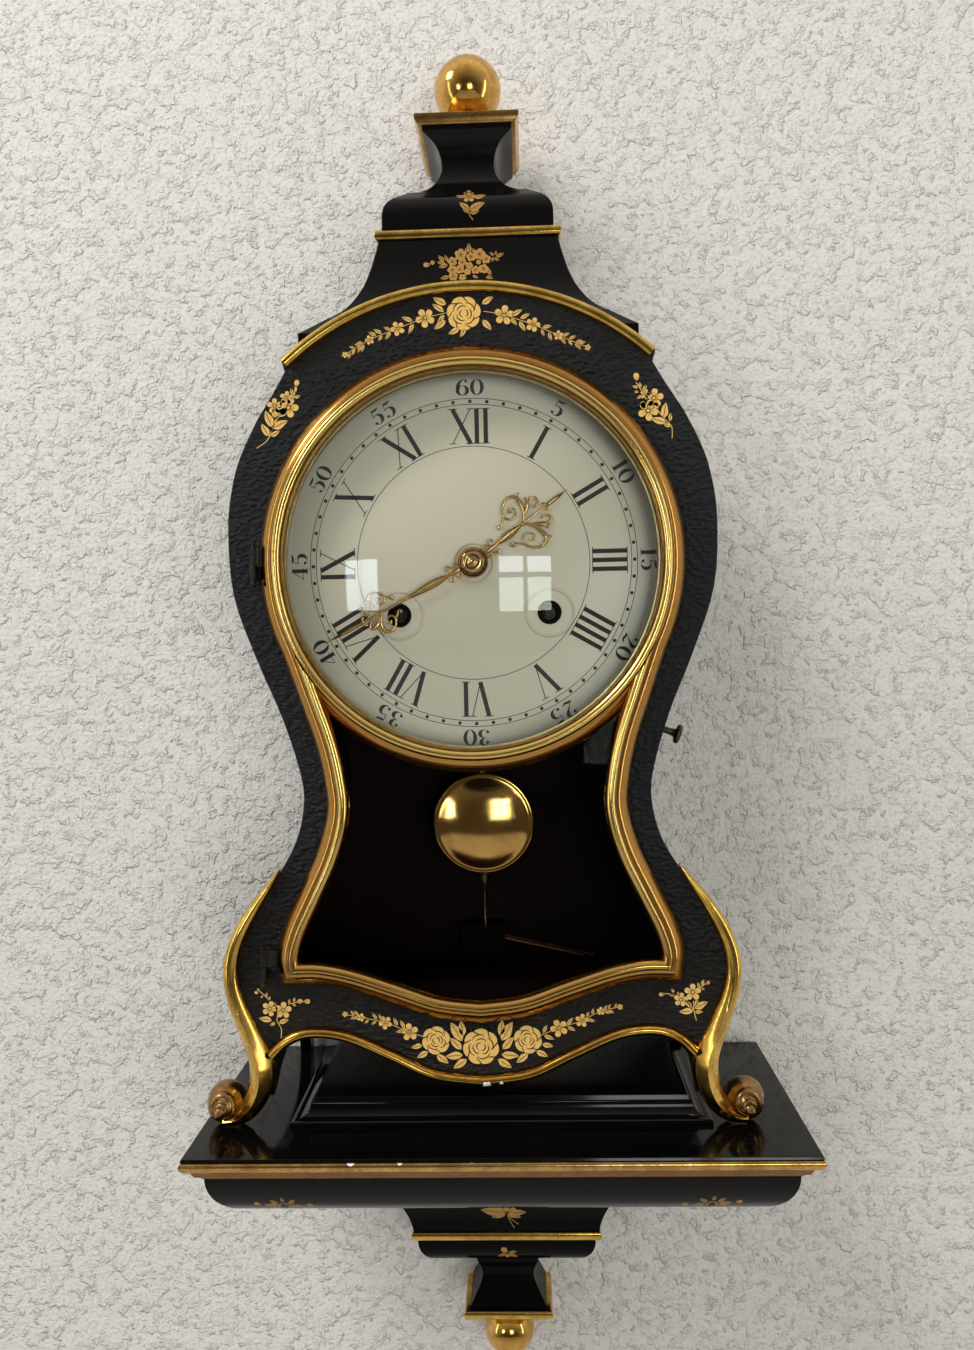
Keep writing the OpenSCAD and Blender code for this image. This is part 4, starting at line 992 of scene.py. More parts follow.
# %% Both feet
def foot_parts(side):
    leg = run_moulding("leg", smooth_curve(LEG, 7), leg_section)
    shell = snail("shell", SNAIL_X, SNAIL_Z)
    core = turned("core", [(0, 0), (9.0, 0), (9.6, 1.5), (9.4, 5), (7.8, 8), (5.2, 11), (2.6, 15.5),
        (0, 17)], 48)
    core.data.transform(Matrix.Translation((SNAIL_X * MM, SNAIL_Z * MM, -10 * MM)))
    tip = turned("tip", [(0, 0), (1.9, 0), (2.3, 0.6), (1.7, 1.3), (2.1, 1.9), (1.6, 2.6), (1.7, 3.1),
        (0.9, 3.8), (0, 4.0)], 28)
    tip.data.transform(Matrix.Translation((SNAIL_X * MM, SNAIL_Z * MM, 8.6 * MM)))
    alone()
    bpy.ops.mesh.primitive_circle_add(vertices=7, radius=MM, fill_type="NGON", location=(0, 0, 0))
    toe = bpy.context.object
    outline = [(106.2, 11.8), (111.6, 11.8), (114, 10), (SNAIL_X, 8), (SNAIL_X, 0), (117, 0), (111.5, 3.4)]
    for vertex, (px, pz) in zip(toe.data.vertices, outline):
        vertex.co = (px * MM, pz * MM, -6 * MM)
    edit(toe)
    bpy.ops.mesh.extrude_region_move(TRANSFORM_OT_translate={"value": (0, 0, 6 * MM)})
    alone(toe)
    flip = Matrix.Diagonal((side, 1, 1, 1))
    for part in (leg, shell, core, tip, toe):
        part.data.transform(flip)
        stand(part, FRONT_D)
        settle(part, 50)
    return leg, joined("snail", [shell, core, tip, toe])


for side, word in ((-1, "left"), (1, "right")):
    leg, shell = foot_parts(side)
    leg.name, shell.name = f"leg_{word}_gilt", f"snail_foot_{word}"
    dressed(leg, moulding_gilt, "case", "gilt", f"leg_moulding_{word}")
    dressed(shell, scroll_gilt, "case", "gilt", f"foot_scroll_{word}")
print("legs reach", round(min(v.co.z for v in leg.data.vertices) * 1000 - SHELF_Z, 2), "mm over the shelf")

# %% [markdown]
# ## The dial's print
# The dial is printed with two thin circles that hold the minute dots, one circle inside, Roman hours whose
# feet point to the centre, and five-minute figures outside them. There is no font to lean on, so every
# figure is drawn as pen strokes: a centre line with a width at each point, thick on the downstrokes and
# thin on the hairlines. The strokes lie a hair's breadth above the paint.

# %% A printed sheet
class Print:
    """Flat strokes gathered into one mesh, x right and y up, in millimetres."""

    def __init__(self):
        self.points, self.faces = [], []

    def sheet(self, outline):
        start = len(self.points)
        self.points += [tuple(p) for p in outline]
        self.faces.append(tuple(range(start, start + len(outline))))

    def stroke(self, line, turn=Matrix.Identity(3), closed=False):
        start, n = len(self.points), len(line)
        for k in range(n):
            across = mitre_at([p[:2] for p in line], k, closed)
            for side in (-1, 1):
                reach = side * line[k][2] / 2
                place = turn @ Vector((line[k][0] + across.x * reach, line[k][1] + across.y * reach, 1))
                self.points.append((place.x, place.y))
        for k in range(n if closed else n - 1):
            a, b = start + 2 * k, start + 2 * ((k + 1) % n)
            self.faces.append((a, a + 1, b + 1, b))

    def dot(self, x, y, radius, turn=Matrix.Identity(3), sides=14):
        angles = [math.tau * k / sides for k in range(sides)]
        ring = [turn @ Vector((x + radius * math.cos(a), y + radius * math.sin(a), 1)) for a in angles]
        self.sheet([(p.x, p.y) for p in ring])

    def upward(self, face):
        """The face with its corners counted so that it looks out of the sheet."""
        ring = [self.points[k] for k in face]
        area = sum(a[0] * b[1] - b[0] * a[1] for a, b in zip(ring, ring[1:] + ring[:1]))
        return face if area > 0 else face[::-1]

    def piece(self, name, up=0.0):
        mesh = bpy.data.meshes.new(name)
        points = [(x * MM, y * MM, up * MM) for x, y in self.points]
        mesh.from_pydata(points, [], [self.upward(face) for face in self.faces])
        return placed(name, mesh)


print("a sheet can:", ", ".join(word for word in vars(Print) if not word.startswith("_")))

# %% [markdown]
# Figures are drawn in a box one unit high, so that one drawing serves at any size. Each is its width, its
# loops, its strokes and the round drops that end some strokes. A stroke is rows of x, y and pen width.

# %% Figures in pen strokes
def at_angle(degrees, radius, size=1.0, x=0.0, broad=1.0):
    """Turns a figure so that its feet point to the dial's centre; x shifts it along the circle."""
    c, s = math.cos(math.radians(degrees)), math.sin(math.radians(degrees))
    turn = Matrix(((c, s, 0), (-s, c, 0), (0, 0, 1)))
    return turn @ Matrix(((size * broad, 0, x), (0, size, radius), (0, 0, 1)))


THIN, THICK = 0.035, 0.17


def loop_stroke(cx, cy, rx, ry, steps=40):
    line = []
    for k in range(steps):
        a = math.tau * k / steps
        line.append((cx + rx * math.cos(a), cy + ry * math.sin(a),
            THIN + (THICK - THIN) * abs(math.cos(a)) ** 1.4))
    return line


def pen(*rows):
    return smooth_curve(rows, 8)


FIGURES = {
    "0": (0.60, [loop_stroke(0.30, 0.5, 0.225, 0.48)], [], []),
    "1": (0.42, [], [[(0.22, 0, THICK), (0.22, 1, THICK)], [(0.06, 0.86, THIN), (0.22, 0.985, THIN)],
        [(0.04, 0.015, THIN), (0.40, 0.015, THIN)]], []),
    "2": (0.58, [], [pen((0.10, 0.74, 0.05), (0.12, 0.90, 0.06), (0.27, 0.985, THIN), (0.44, 0.90, 0.13),
        (0.46, 0.74, 0.17), (0.36, 0.52, 0.10), (0.17, 0.24, THIN), (0.06, 0.05, THIN)),
        pen((0.05, 0.06, 0.06), (0.20, 0.09, 0.15), (0.36, 0.05, 0.13), (0.50, 0.16, THIN))],
        [(0.13, 0.76, 0.075)]),
    "3": (0.56, [], [pen((0.10, 0.84, 0.05), (0.24, 0.985, THIN), (0.40, 0.90, 0.13), (0.40, 0.70, 0.15),
        (0.30, 0.56, 0.05), (0.20, 0.53, THIN)), pen((0.20, 0.53, THIN), (0.36, 0.50, 0.06),
        (0.46, 0.34, 0.17), (0.44, 0.14, 0.14), (0.28, 0.015, THIN), (0.10, 0.10, 0.05))],
        [(0.13, 0.80, 0.07), (0.12, 0.17, 0.075)]),
    "4": (0.60, [], [[(0.42, 0, THICK), (0.42, 1, THICK)], [(0.40, 0.97, THIN), (0.05, 0.27, THIN)],
        [(0.03, 0.27, THIN), (0.58, 0.27, THIN)], [(0.26, 0.015, THIN), (0.58, 0.015, THIN)]], []),
    "5": (0.56, [], [pen((0.14, 0.96, 0.06), (0.26, 0.92, 0.14), (0.40, 0.94, 0.11), (0.50, 1, THIN)),
        [(0.15, 0.97, THIN), (0.13, 0.54, THIN)], pen((0.13, 0.54, THIN), (0.26, 0.62, 0.05),
        (0.42, 0.54, 0.13), (0.47, 0.34, 0.17), (0.42, 0.13, 0.13), (0.27, 0.015, THIN),
        (0.11, 0.09, 0.05))], [(0.13, 0.15, 0.075)]),
    "6": (0.60, [loop_stroke(0.30, 0.31, 0.215, 0.295)], [pen((0.48, 0.93, 0.05), (0.38, 0.985, THIN),
        (0.20, 0.86, 0.11), (0.10, 0.60, 0.16), (0.085, 0.34, 0.16))], [(0.46, 0.88, 0.07)]),
}
print("figures drawn:", " ".join(FIGURES))

# %% Roman hours
printed = Print()
HAIR, STEM, FINE = 0.42, 2.15, 0.46


def roman(marks, degrees, height=16.6, foot=57.5):
    """marks: I, V and X, each with thick and thin strokes and thin serifs at head and foot."""
    widths = {"I": 4.3, "V": 9.8, "X": 10.4}
    total = sum(widths[m] for m in marks)
    x = -total / 2
    turn = at_angle(degrees, foot)
    for mark in marks:
        w = widths[mark]
        left, right = x + 0.9, x + w - 0.9
        if mark == "I":
            strokes = [((x + w / 2, 0, STEM), (x + w / 2, height, STEM))]
            serifs = [(x + w / 2, 0, 4.2), (x + w / 2, height, 4.2)]
        elif mark == "V":
            low = (x + w / 2, 0.1)
            strokes = [((left, height, STEM), (*low, STEM)), ((right, height, FINE), (*low, FINE))]
            serifs = [(left, height, 4.3), (right, height, 3.4)]
        else:
            strokes = [((left, height, STEM), (right, 0, STEM)), ((right, height, FINE), (left, 0, FINE))]
            serifs = [(left, height, 4.3), (right, height, 3.4), (left, 0, 3.4), (right, 0, 4.3)]
        for line in strokes:
            printed.stroke(line, turn)
        for cx, y, wide in serifs:
            printed.stroke([(cx - wide / 2, y, HAIR), (cx + wide / 2, y, HAIR)], turn)
        x += w


for hour, marks in enumerate(["XII", "I", "II", "III", "IIII", "V", "VI", "VII", "VIII", "IX", "X", "XI"]):
    roman(marks, 30 * hour)
print("hours have", len(printed.faces), "faces")

# %% Minutes and circles
for minute in range(5, 65, 5):
    text, size, broad, gap = str(minute), 7.7, 1.4, 0.55
    x = -(sum(FIGURES[c][0] for c in text) * size * broad + gap * (len(text) - 1)) / 2
    for c in text:
        width, loops, strokes, drops = FIGURES[c]
        turn = at_angle(6 * minute, 80.6, size, x, broad)
        for line in loops:
            printed.stroke(line, turn, closed=True)
        for line in strokes:
            printed.stroke(line, turn)
        for cx, cy, radius in drops:
            printed.dot(cx, cy, radius, turn)
        x += width * size * broad + gap
for minute in range(60):
    printed.dot(0, 77.7, 0.88, at_angle(6 * minute, 0))
for radius in (56.2, 76.3, 79.1):
    printed.stroke([(px, py, 0.32) for px, py in circle_line(radius, 0, 358, 179)], closed=True)
print_piece = stand(printed.piece("dial_print", up=0.03), DIAL_D, 0, DIAL_Z)
dressed(print_piece, ink, "case", "dial_enamel")
print("print has", len(printed.faces), "faces")

# %% [markdown]
# The sheet of the dial is embossed with a fine ring round each winding hole and round the centre, and each
# hole is lined with a near-black turned sleeve, a painted shade for the dark inside of the hole.

# %% Embossed rings and winding holes
WELL_X, WELL_Z = 36.3, -24.6
rings = [run_moulding("well_ring", circle_line(r, 0, 354, 59), [(-1.0, -0.2), (-0.6, 0.35), (0, 0.6),
    (0.6, 0.35), (1.0, -0.2)], closed=True) for r in (11.4, 11.4, 9.6)]
for ring, (x, z) in zip(rings, [(-WELL_X, WELL_Z), (WELL_X, WELL_Z), (0, 0)]):
    stand(ring, DIAL_D, x, DIAL_Z + z)
dressed(settle(joined("dial_embossed_rings", rings)), cream, "case", "dial_enamel")
wells = []
for x in (-WELL_X, WELL_X):
    well = turned("winding_well", [(3.15, -9.6), (4.75, -9.6), (4.75, 0.05), (5.7, 0.1), (5.8, 0.3),
        (5.5, 0.4), (4.6, 0.3), (4.35, -0.3), (4.35, -9.2), (3.15, -9.2), (3.15, -9.6)], 48)
    wells.append(stand(well, DIAL_D, x, DIAL_Z + WELL_Z))
# painted shade: the sleeves take the near-black of the gong block, so the holes read as dark openings
dressed(settle(joined("winding_wells", wells)), block_black, "case", "brass")
print("winding holes are lined")

# %% [markdown]
# ## Gold flowers
# The black is painted with sprays and garlands of gold flowers, each made of few touches of the brush. The
# smallest are a leaf whose midrib stays black and a round petal. Both are strips of short cross lines, so
# they can be laid on a curved tier. Over the gold go thin dark lines, as the painter drew them last.

# %% Leaves and petals
class Touches:
    """Gold touches and the dark lines drawn over them, placed by root and tip in clock millimetres."""

    def __init__(self):
        self.gold, self.lines = Print(), Print()

    def strip(self, sheet, root, tip, wide, pairs):
        """pairs: how far along, and the two edges' offsets in shares of the width."""
        (x, z), (u, v) = root, tip
        length = math.hypot(u - x, v - z)
        cx, cz = (u - x) / length, (v - z) / length
        start = len(sheet.points)
        for along, low, high in pairs:
            for off in (low, high):
                far, side = along * length, off * wide
                sheet.points.append((x + cx * far - cz * side, z + cz * far + cx * side))
        for k in range(len(pairs) - 1):
            a = start + 2 * k
            sheet.faces.append((a, a + 1, a + 3, a + 2))

    def leaf(self, root, tip, share=0.46, steps=7):
        length = math.hypot(tip[0] - root[0], tip[1] - root[1])
        wide = length * share
        gap = min(0.13 / wide, 0.12)
        for side in (-1, 1):
            rows = []
            for k in range(steps + 1):
                t = k / steps
                edge = 0.5 * math.sin(math.pi * t ** 0.82) * (1 + 0.08 * math.sin(9 * t + side))
                rows.append((t, side * min(gap, edge), side * edge))
            self.strip(self.gold, root, tip, wide, rows)
        (x, z), (u, v) = root, tip
        cx, cz = (u - x) / length, (v - z) / length
        for t in (0.32, 0.52, 0.70) if length > 3.4 else ():
            px, pz = x + (u - x) * t, z + (v - z) * t
            reach = 0.34 * wide * math.sin(math.pi * t ** 0.82)
            for side in (-1, 1):
                self.lines.stroke([(px, pz, 0.14), (px + cx * reach * 0.8 - cz * side * reach,
                    pz + cz * reach * 0.8 + cx * side * reach, 0.05)])

    def petal(self, root, tip, share=0.80, steps=8):
        length = math.hypot(tip[0] - root[0], tip[1] - root[1])
        wide = length * share
        rows = []
        for k in range(steps + 1):
            a = math.pi * k / steps
            t = (1 - math.cos(a)) / 2
            edge = 0.5 * math.sin(a) * (0.70 + 0.42 * t)
            rows.append((t, -edge, edge))
        self.strip(self.gold, root, tip, wide, rows)
        for off in (-0.12, 0.12) if length > 1.7 else ():
            self.strip(self.lines, root, tip, wide, [(0.06, off * 0.4 - 0.03, off * 0.4 + 0.03),
                (0.30, off * 0.8 - 0.024, off * 0.8 + 0.024),
                (0.56, off * 1.15 - 0.006, off * 1.15 + 0.006)])


print("touches:", ", ".join(word for word in vars(Touches) if not word.startswith("_")))

# %% [markdown]
# A small flower is five petals in a ring with a dot in the middle. A full rose would be a crowd of petals,
# and at this size they run together, so it is drawn as the painter did: one scalloped blot of gold, with
# the petals' edges over it in black, in circles that close towards the heart.

# %% Flowers and roses
class Blossoms(Touches):
    def ring(self, x, z, inner, outer, count, turn, share):
        for k in range(count):
            a = math.radians(turn + 360 * k / count)
            root, tip = [(x + far * math.sin(a), z + far * math.cos(a)) for far in (inner, outer)]
            self.petal(root, tip, share)

    def flower(self, x, z, radius, turn=0):
        self.ring(x, z, 0.20 * radius, radius, 5, turn, 0.88)
        self.gold.dot(x, z, 0.15 * radius, sides=8)

    def rose(self, x, z, radius, turn=0, lobes=7):
        """A scalloped blot of gold with its petals' edges drawn over it in black."""
        def at(degrees, share, *width):
            a = math.radians(degrees + turn)
            return [x + radius * share * math.sin(a), z + radius * share * math.cos(a), *width]
        steps = 12 * lobes
        edge = [0.90 + 0.10 * abs(math.sin(math.pi * k / 12)) ** 0.7 for k in range(steps)]
        self.gold.sheet([at(360 * k / steps, edge[k]) for k in range(steps)])
        pen = 0.042 * radius + 0.14
        for k in range(lobes):
            start = 360 * k / lobes
            self.lines.stroke(smooth_curve([at(start, 0.92, pen), at(start + 8, 0.78, pen),
                at(start + 24, 0.66, pen * 0.5)], 4))
        for share, count, reach, turned in ((0.66, 4, 74, 10), (0.44, 3, 96, 50), (0.24, 2, 130, 20)):
            for k in range(count):
                start = 360 * k / count + turned
                self.lines.stroke(smooth_curve([at(start, share * 0.90, pen * 0.4),
                    at(start + reach * 0.3, share, pen), at(start + reach * 0.7, share * 1.02, pen),
                    at(start + reach, share * 0.86, pen * 0.4)], 5))

    def stem(self, *numbers):
        points = [[numbers[k], numbers[k + 1], 0.34] for k in range(0, len(numbers), 2)]
        self.gold.stroke(smooth_curve(points, 5) if len(points) > 2 else points)

    def draw(self, touches):
        for kind, *n in touches:
            if kind in ("leaf", "petal"):
                getattr(self, kind)(n[:2], n[2:])
            elif kind == "dot":
                self.ring(n[0], n[1], 0.12 * n[2], 1.16 * n[2], 5, 40 * n[0], 1.02)
            else:
                getattr(self, kind)(*n)


print("blossoms:", ", ".join(word for word in vars(Blossoms) if not word.startswith("_")))

# %% [markdown]
# A garland is a vine with leaves in pairs and blossoms on it. A finished drawing is laid on the black as two
# pieces, the gold and the dark lines. On a curved tier both are pressed back with a shrinkwrap along the
# depth, and the gold there is the darker one.

# %% Garlands, and laying a drawing
class Spray(Blossoms):
    def vine(self, line, start, end, big, small, blossoms=()):
        """Leaves in pairs along a line, shrinking towards its end and kept clear of the blossoms."""
        run = smooth_curve(line, 10)
        lengths = [0.0]
        for a, b in zip(run, run[1:]):
            lengths.append(lengths[-1] + math.hypot(b[0] - a[0], b[1] - a[1]))
        self.gold.stroke([[px, pz, 0.26] for px, pz in run])
        at = start
        while at < lengths[-1] - end:
            k = next(i for i, value in enumerate(lengths) if value >= at)
            (x, z), (u, v) = run[k - 1], run[k]
            heading = math.atan2(v - z, u - x)
            size = big + (small - big) * at / lengths[-1]
            for side in (-1, 1):
                a = heading + side * math.radians(38 + 8 * math.sin(at * 1.7 + side))
                reach = size * (1 + 0.12 * math.sin(at * 2.3 + side * 2))
                ends = (0.2 * size, 1.2 * reach)
                root, tip = [(u + far * math.cos(a), v + far * math.sin(a)) for far in ends]
                px, pz = (root[0] + 2 * tip[0]) / 3, (root[1] + 2 * tip[1]) / 3
                gaps = [math.hypot(px - bx, pz - bz) - radius for bx, bz, radius in blossoms]
                if min(gaps, default=9) > 0.22 * size:
                    self.leaf(root, tip, 0.38)
            at += size * 0.86

    def lay(self, name, depth, tier=None, off=0.06):
        """The gold and its lines as pieces in front of a board, or pressed back on a tier."""
        body = "bracket" if tier and tier.name.startswith("bracket") else "case"
        gold = darker_gold if tier else gold_paint
        layers = [(self.gold, gold, "gold", off), (self.lines, line_black, "lines", off + 0.03)]
        for sheet, finish, word, up in layers:
            piece = stand(sheet.piece(f"{name}_{word}"), depth + (6 if tier else up))
            if tier:
                press = piece.modifiers.new("press", "SHRINKWRAP")
                press.wrap_method, press.target, press.offset = "PROJECT", tier, up * MM
                press.use_project_x = press.use_project_z = False
                press.use_project_y = press.use_negative_direction = press.use_positive_direction = True
                press.wrap_mode = "ABOVE_SURFACE"
                bpy.ops.object.modifier_apply(modifier=press.name)
            dressed(piece, finish, body, "gilt")


print("drawings can be laid on the front and pressed on the tiers")

# %% [markdown]
# Each spray is written down as a list of touches: a leaf or a petal by its root and its tip, a stem by its
# points, a flower, a rose or a dot by its middle and its radius.

# %% Sprays in the corners of the front
CORNERS = {
    "upper_left": [
        ("stem", -100.0, 321.8, -95.2, 325.0, -92.8, 329.3, -90.6, 335.2),
        ("stem", -92.8, 329.3, -89.9, 335.2, -87.3, 337.8), ("stem", -81.5, 345.6, -80.8, 349.6),
        ("petal", -80.6, 350.2, -79.9, 353.2), ("leaf", -81.1, 347.6, -80.5, 350.6),
        ("leaf", -81.6, 344.9, -78.6, 345.7), ("leaf", -82.2, 346.0, -83.0, 349.5),
        ("leaf", -82.9, 344.3, -81.5, 346.9), ("flower", -85.3, 345.0, 3.1, 10),
        ("flower", -90.9, 341.3, 3.6, 0), ("flower", -84.4, 340.4, 4.8, 20),
        ("leaf", -92.4, 331.6, -95.4, 339.3), ("leaf", -92.2, 330.9, -84.9, 334.4),
        ("leaf", -94.0, 327.3, -97.4, 333.3), ("leaf", -93.1, 327.3, -88.8, 329.7),
        ("petal", -89.2, 336.4, -85.5, 340.3), ("petal", -91.4, 336.0, -90.0, 340.2),
    ],
    "upper_right": [
        ("stem", 94.2, 321.2, 94.1, 326.6, 90.4, 330.7, 87.6, 334.8),
        ("stem", 78.0, 347.5, 80.1, 344.2, 81.4, 342.1), ("petal", 78.5, 348.3, 78.0, 351.8),
        ("leaf", 78.9, 344.9, 76.2, 345.9), ("leaf", 80.1, 344.8, 79.6, 347.6),
        ("leaf", 81.1, 343.1, 82.9, 346.2), ("leaf", 79.3, 342.9, 76.9, 343.3),
        ("leaf", 80.7, 341.2, 78.2, 339.9), ("flower", 82.2, 341.8, 2.4, 15),
        ("flower", 86.3, 340.0, 4.4, 5), ("flower", 83.4, 334.3, 4.8, 30),
        ("leaf", 90.4, 330.4, 91.7, 337.8), ("leaf", 91.4, 328.5, 84.6, 330.7),
        ("leaf", 93.5, 329.1, 93.6, 332.9), ("leaf", 93.6, 326.5, 90.2, 328.2),
        ("petal", 87.6, 334.8, 86.6, 337.9), ("petal", 81.6, 335.2, 80.8, 338.5),
    ],
    "lower_left": [
        ("stem", -96.0, 40.3, -95.2, 46.4, -97.3, 50.9), ("stem", -97.3, 50.9, -96.8, 56.0, -98.1, 59.5),
        ("stem", -100.5, 60.8, -103.5, 63.6, -106.5, 66.2), ("stem", -91.6, 58.7, -87.2, 59.7, -81.7, 60.1),
        ("flower", -94.1, 55.9, 4.0, 5), ("flower", -100.6, 56.7, 3.7, 20),
        ("leaf", -99.7, 51.1, -105.8, 52.2), ("leaf", -96.3, 49.9, -91.6, 51.5),
        ("leaf", -98.0, 49.9, -100.8, 48.7), ("petal", -105.9, 64.2, -107.6, 64.7),
        ("leaf", -105.4, 65.0, -106.3, 66.7), ("leaf", -102.5, 62.2, -101.4, 64.6),
        ("leaf", -103.5, 62.9, -104.9, 61.9), ("leaf", -100.8, 60.9, -100.2, 62.8),
        ("leaf", -91.3, 59.0, -90.9, 61.4), ("leaf", -89.1, 59.7, -88.4, 62.1),
        ("leaf", -89.6, 59.0, -87.9, 57.6), ("petal", -87.5, 59.9, -84.8, 60.3),
        ("petal", -84.1, 60.0, -81.2, 60.0),
    ],
    "lower_right": [
        ("stem", 100.9, 49.0, 99.9, 53.4, 99.6, 58.4), ("stem", 99.9, 53.4, 97.9, 56.8, 95.3, 59.1),
        ("stem", 90.7, 61.2, 87.4, 61.9, 84.0, 61.6), ("stem", 101.7, 64.1, 104.1, 65.5, 107.1, 67.8),
        ("flower", 99.4, 62.5, 4.0, 0), ("flower", 93.8, 59.0, 3.3, 10), ("leaf", 99.4, 53.7, 92.9, 53.3),
        ("leaf", 100.2, 54.8, 106.3, 57.9), ("leaf", 100.2, 53.2, 104.0, 53.1),
        ("leaf", 98.7, 55.3, 95.6, 58.7), ("leaf", 100.5, 55.7, 101.6, 59.4),
        ("petal", 86.0, 61.7, 83.6, 61.5), ("leaf", 90.7, 62.2, 89.5, 64.4),
        ("leaf", 91.0, 60.9, 88.4, 61.4), ("leaf", 92.3, 61.2, 92.7, 63.0),
        ("leaf", 102.4, 64.5, 101.8, 67.2), ("leaf", 103.7, 65.5, 104.5, 68.5),
        ("leaf", 105.4, 66.5, 107.8, 66.8), ("leaf", 103.4, 64.5, 105.0, 63.4),
    ],
}
corners = Spray()
for touches in CORNERS.values():
    corners.draw(touches)
print("corner sprays:", len(corners.gold.faces), "faces of gold")

# %% Sprays on the curved tiers
ON_TIERS = {
    "skirt": [
        ("dot", -3.5, 419.1, 2.6), ("dot", -7.6, 415.6, 2.1), ("dot", 1.6, 417.7, 2.1),
        ("dot", 5.7, 419.0, 2.6), ("dot", 8.9, 416.3, 2.1), ("dot", 7.6, 411.3, 2.2),
        ("dot", 3.7, 410.8, 1.9), ("dot", -0.3, 410.0, 1.6),
        ("dot", -4.0, 411.4, 2.0), ("dot", -7.7, 411.2, 2.1), ("dot", -2.7, 415.0, 1.9),
        ("dot", 0.7, 413.3, 1.6), ("dot", -7.2, 407.8, 2.0), ("dot", -2.7, 407.1, 1.6),
        ("dot", 5.2, 414.8, 1.1), ("leaf", 0.8, 420.0, 0.5, 424.9), ("leaf", -0.4, 419.6, -1.0, 422.6),
        ("leaf", 2.2, 419.8, 3.1, 422.4), ("leaf", 9.6, 411.4, 11.2, 407.3),
        ("leaf", 8.7, 407.0, 12.4, 406.1), ("leaf", 2.2, 408.0, 5.0, 406.3),
        ("leaf", -9.2, 407.6, -13.7, 406.8), ("leaf", -11.9, 415.7, -14.4, 419.1),
        ("leaf", -10.1, 415.7, -11.2, 419.2), ("leaf", -9.9, 414.2, -14.4, 412.6),
        ("leaf", -11.1, 414.9, -15.3, 415.5), ("dot", -17.4, 415.3, 1.0),
        ("petal", -18.6, 414.4, -21.9, 414.3), ("leaf", 12.6, 417.8, 10.8, 420.0),
        ("leaf", 13.4, 418.1, 14.1, 420.5), ("leaf", 13.8, 417.3, 17.7, 419.0),
        ("leaf", 13.0, 416.9, 15.4, 415.2), ("leaf", 12.6, 417.2, 11.7, 414.6),
    ],
    "cap": [
        ("stem", 2.9, 436.7, 1.1, 439.3, 0.9, 442.3), ("leaf", 0.9, 441.7, -3.8, 446.0),
        ("leaf", 1.1, 441.7, 8.8, 445.4), ("leaf", 0.8, 440.3, -2.2, 442.7),
        ("leaf", 1.3, 440.1, 6.1, 441.1), ("flower", 0.9, 449.0, 3.3, 0),
        ("leaf", -1.6, 448.9, -5.7, 450.4), ("leaf", 3.3, 448.5, 9.5, 449.9),
        ("leaf", -0.7, 451.0, -1.5, 453.5), ("leaf", 2.1, 450.9, 3.0, 453.2),
        ("petal", 0.8, 452.4, 0.6, 455.1),
    ],
    "bowl_left": [("rose", -91.5, -28.6, 2.7, 0, 6), ("leaf", -94.6, -28.4, -100.8, -27),
        ("leaf", -94, -27, -97.6, -23.8), ("leaf", -88.6, -28.6, -82.6, -28.4),
        ("leaf", -89.2, -26.8, -86, -23.6), ("flower", -79.6, -28, 1.7),
        ("leaf", -91.4, -25.4, -92.2, -22), ("petal", -102, -27, -105, -26)],
    "bowl_right": [("rose", 103.6, -28.6, 2.7, 0, 6), ("leaf", 106.6, -28.2, 112.6, -26.8),
        ("leaf", 106, -26.8, 109.6, -23.6), ("leaf", 100.6, -28.6, 94.6, -28.6),
        ("leaf", 101.2, -26.8, 97.8, -23.8), ("flower", 91.4, -28.4, 1.7),
        ("leaf", 103.6, -25.4, 104.8, -22.2), ("petal", 114, -26.8, 117, -25.8)],
    "corbel": [("petal", 8.4, -70, 8.6, -66), ("leaf", 7.8, -70.4, -5.2, -68),
        ("leaf", 8, -70.8, 0.4, -73.2), ("leaf", 9.4, -70.4, 18.8, -69.9), ("leaf", 9.2, -70.8, 16, -73.4),
        ("stem", 8.8, -71, 9.8, -75, 12.4, -80), ("stem", 8.8, -71, 11, -74.6, 14.6, -77.6),
        ("petal", 7, -69.6, 4, -66.6), ("petal", 10, -69.6, 13.2, -67)],
    "cup": [("petal", 7.6, -95.6, 5.8, -91.8), ("petal", 8.4, -96, 8, -99.4),
        ("leaf", 8.8, -95.6, 13.4, -94.4), ("leaf", 7.4, -96.2, 2.8, -98.4), ("leaf", 9, -96.4, 14, -99)],
}
print("touches on the tiers:", sum(len(touches) for touches in ON_TIERS.values()))

# %% The two garlands
arch_roses, apron_roses = Spray(), Spray()
great_rose = (-1.2, 381.7, 8.0)
arch_roses.rose(*great_rose)
apron_roses.rose(-0.5, 37.6, 8.6, 26)
ARCH_BLOSSOMS = {
    -1: [(19.3, 380.1, 4.5), (32.3, 375.6, 3.4), (45.5, 370.7, 2.2), (57.2, 364.2, 1.5)],
    1: [(17.5, 380.3, 4.6), (30.9, 375.5, 3.4), (42.5, 370.2, 2.3), (56, 364.2, 1.5)],
}
for side, blossoms in ARCH_BLOSSOMS.items():
    blossoms = [(side * x, z, radius) for x, z, radius in blossoms]
    arch_roses.vine([(side * 8, 382.4)] + [(x, z) for x, z, _ in blossoms], 1.2, 1.0, 6.0, 2.5,
        [great_rose] + blossoms)
    for x, z, radius in blossoms:
        arch_roses.flower(x, z, radius, 17 * side * x)
arch_roses.draw([("leaf", -9.4, 386, -15.4, 389.4), ("leaf", -9.8, 378.6, -15.2, 374.8),
    ("leaf", 7.4, 385.8, 12.6, 389), ("leaf", 7.6, 378.4, 11.4, 373.6), ("leaf", -3.4, 374.6, -8.6, 372.4),
    ("leaf", -0.6, 374.4, -3.2, 370.8)])
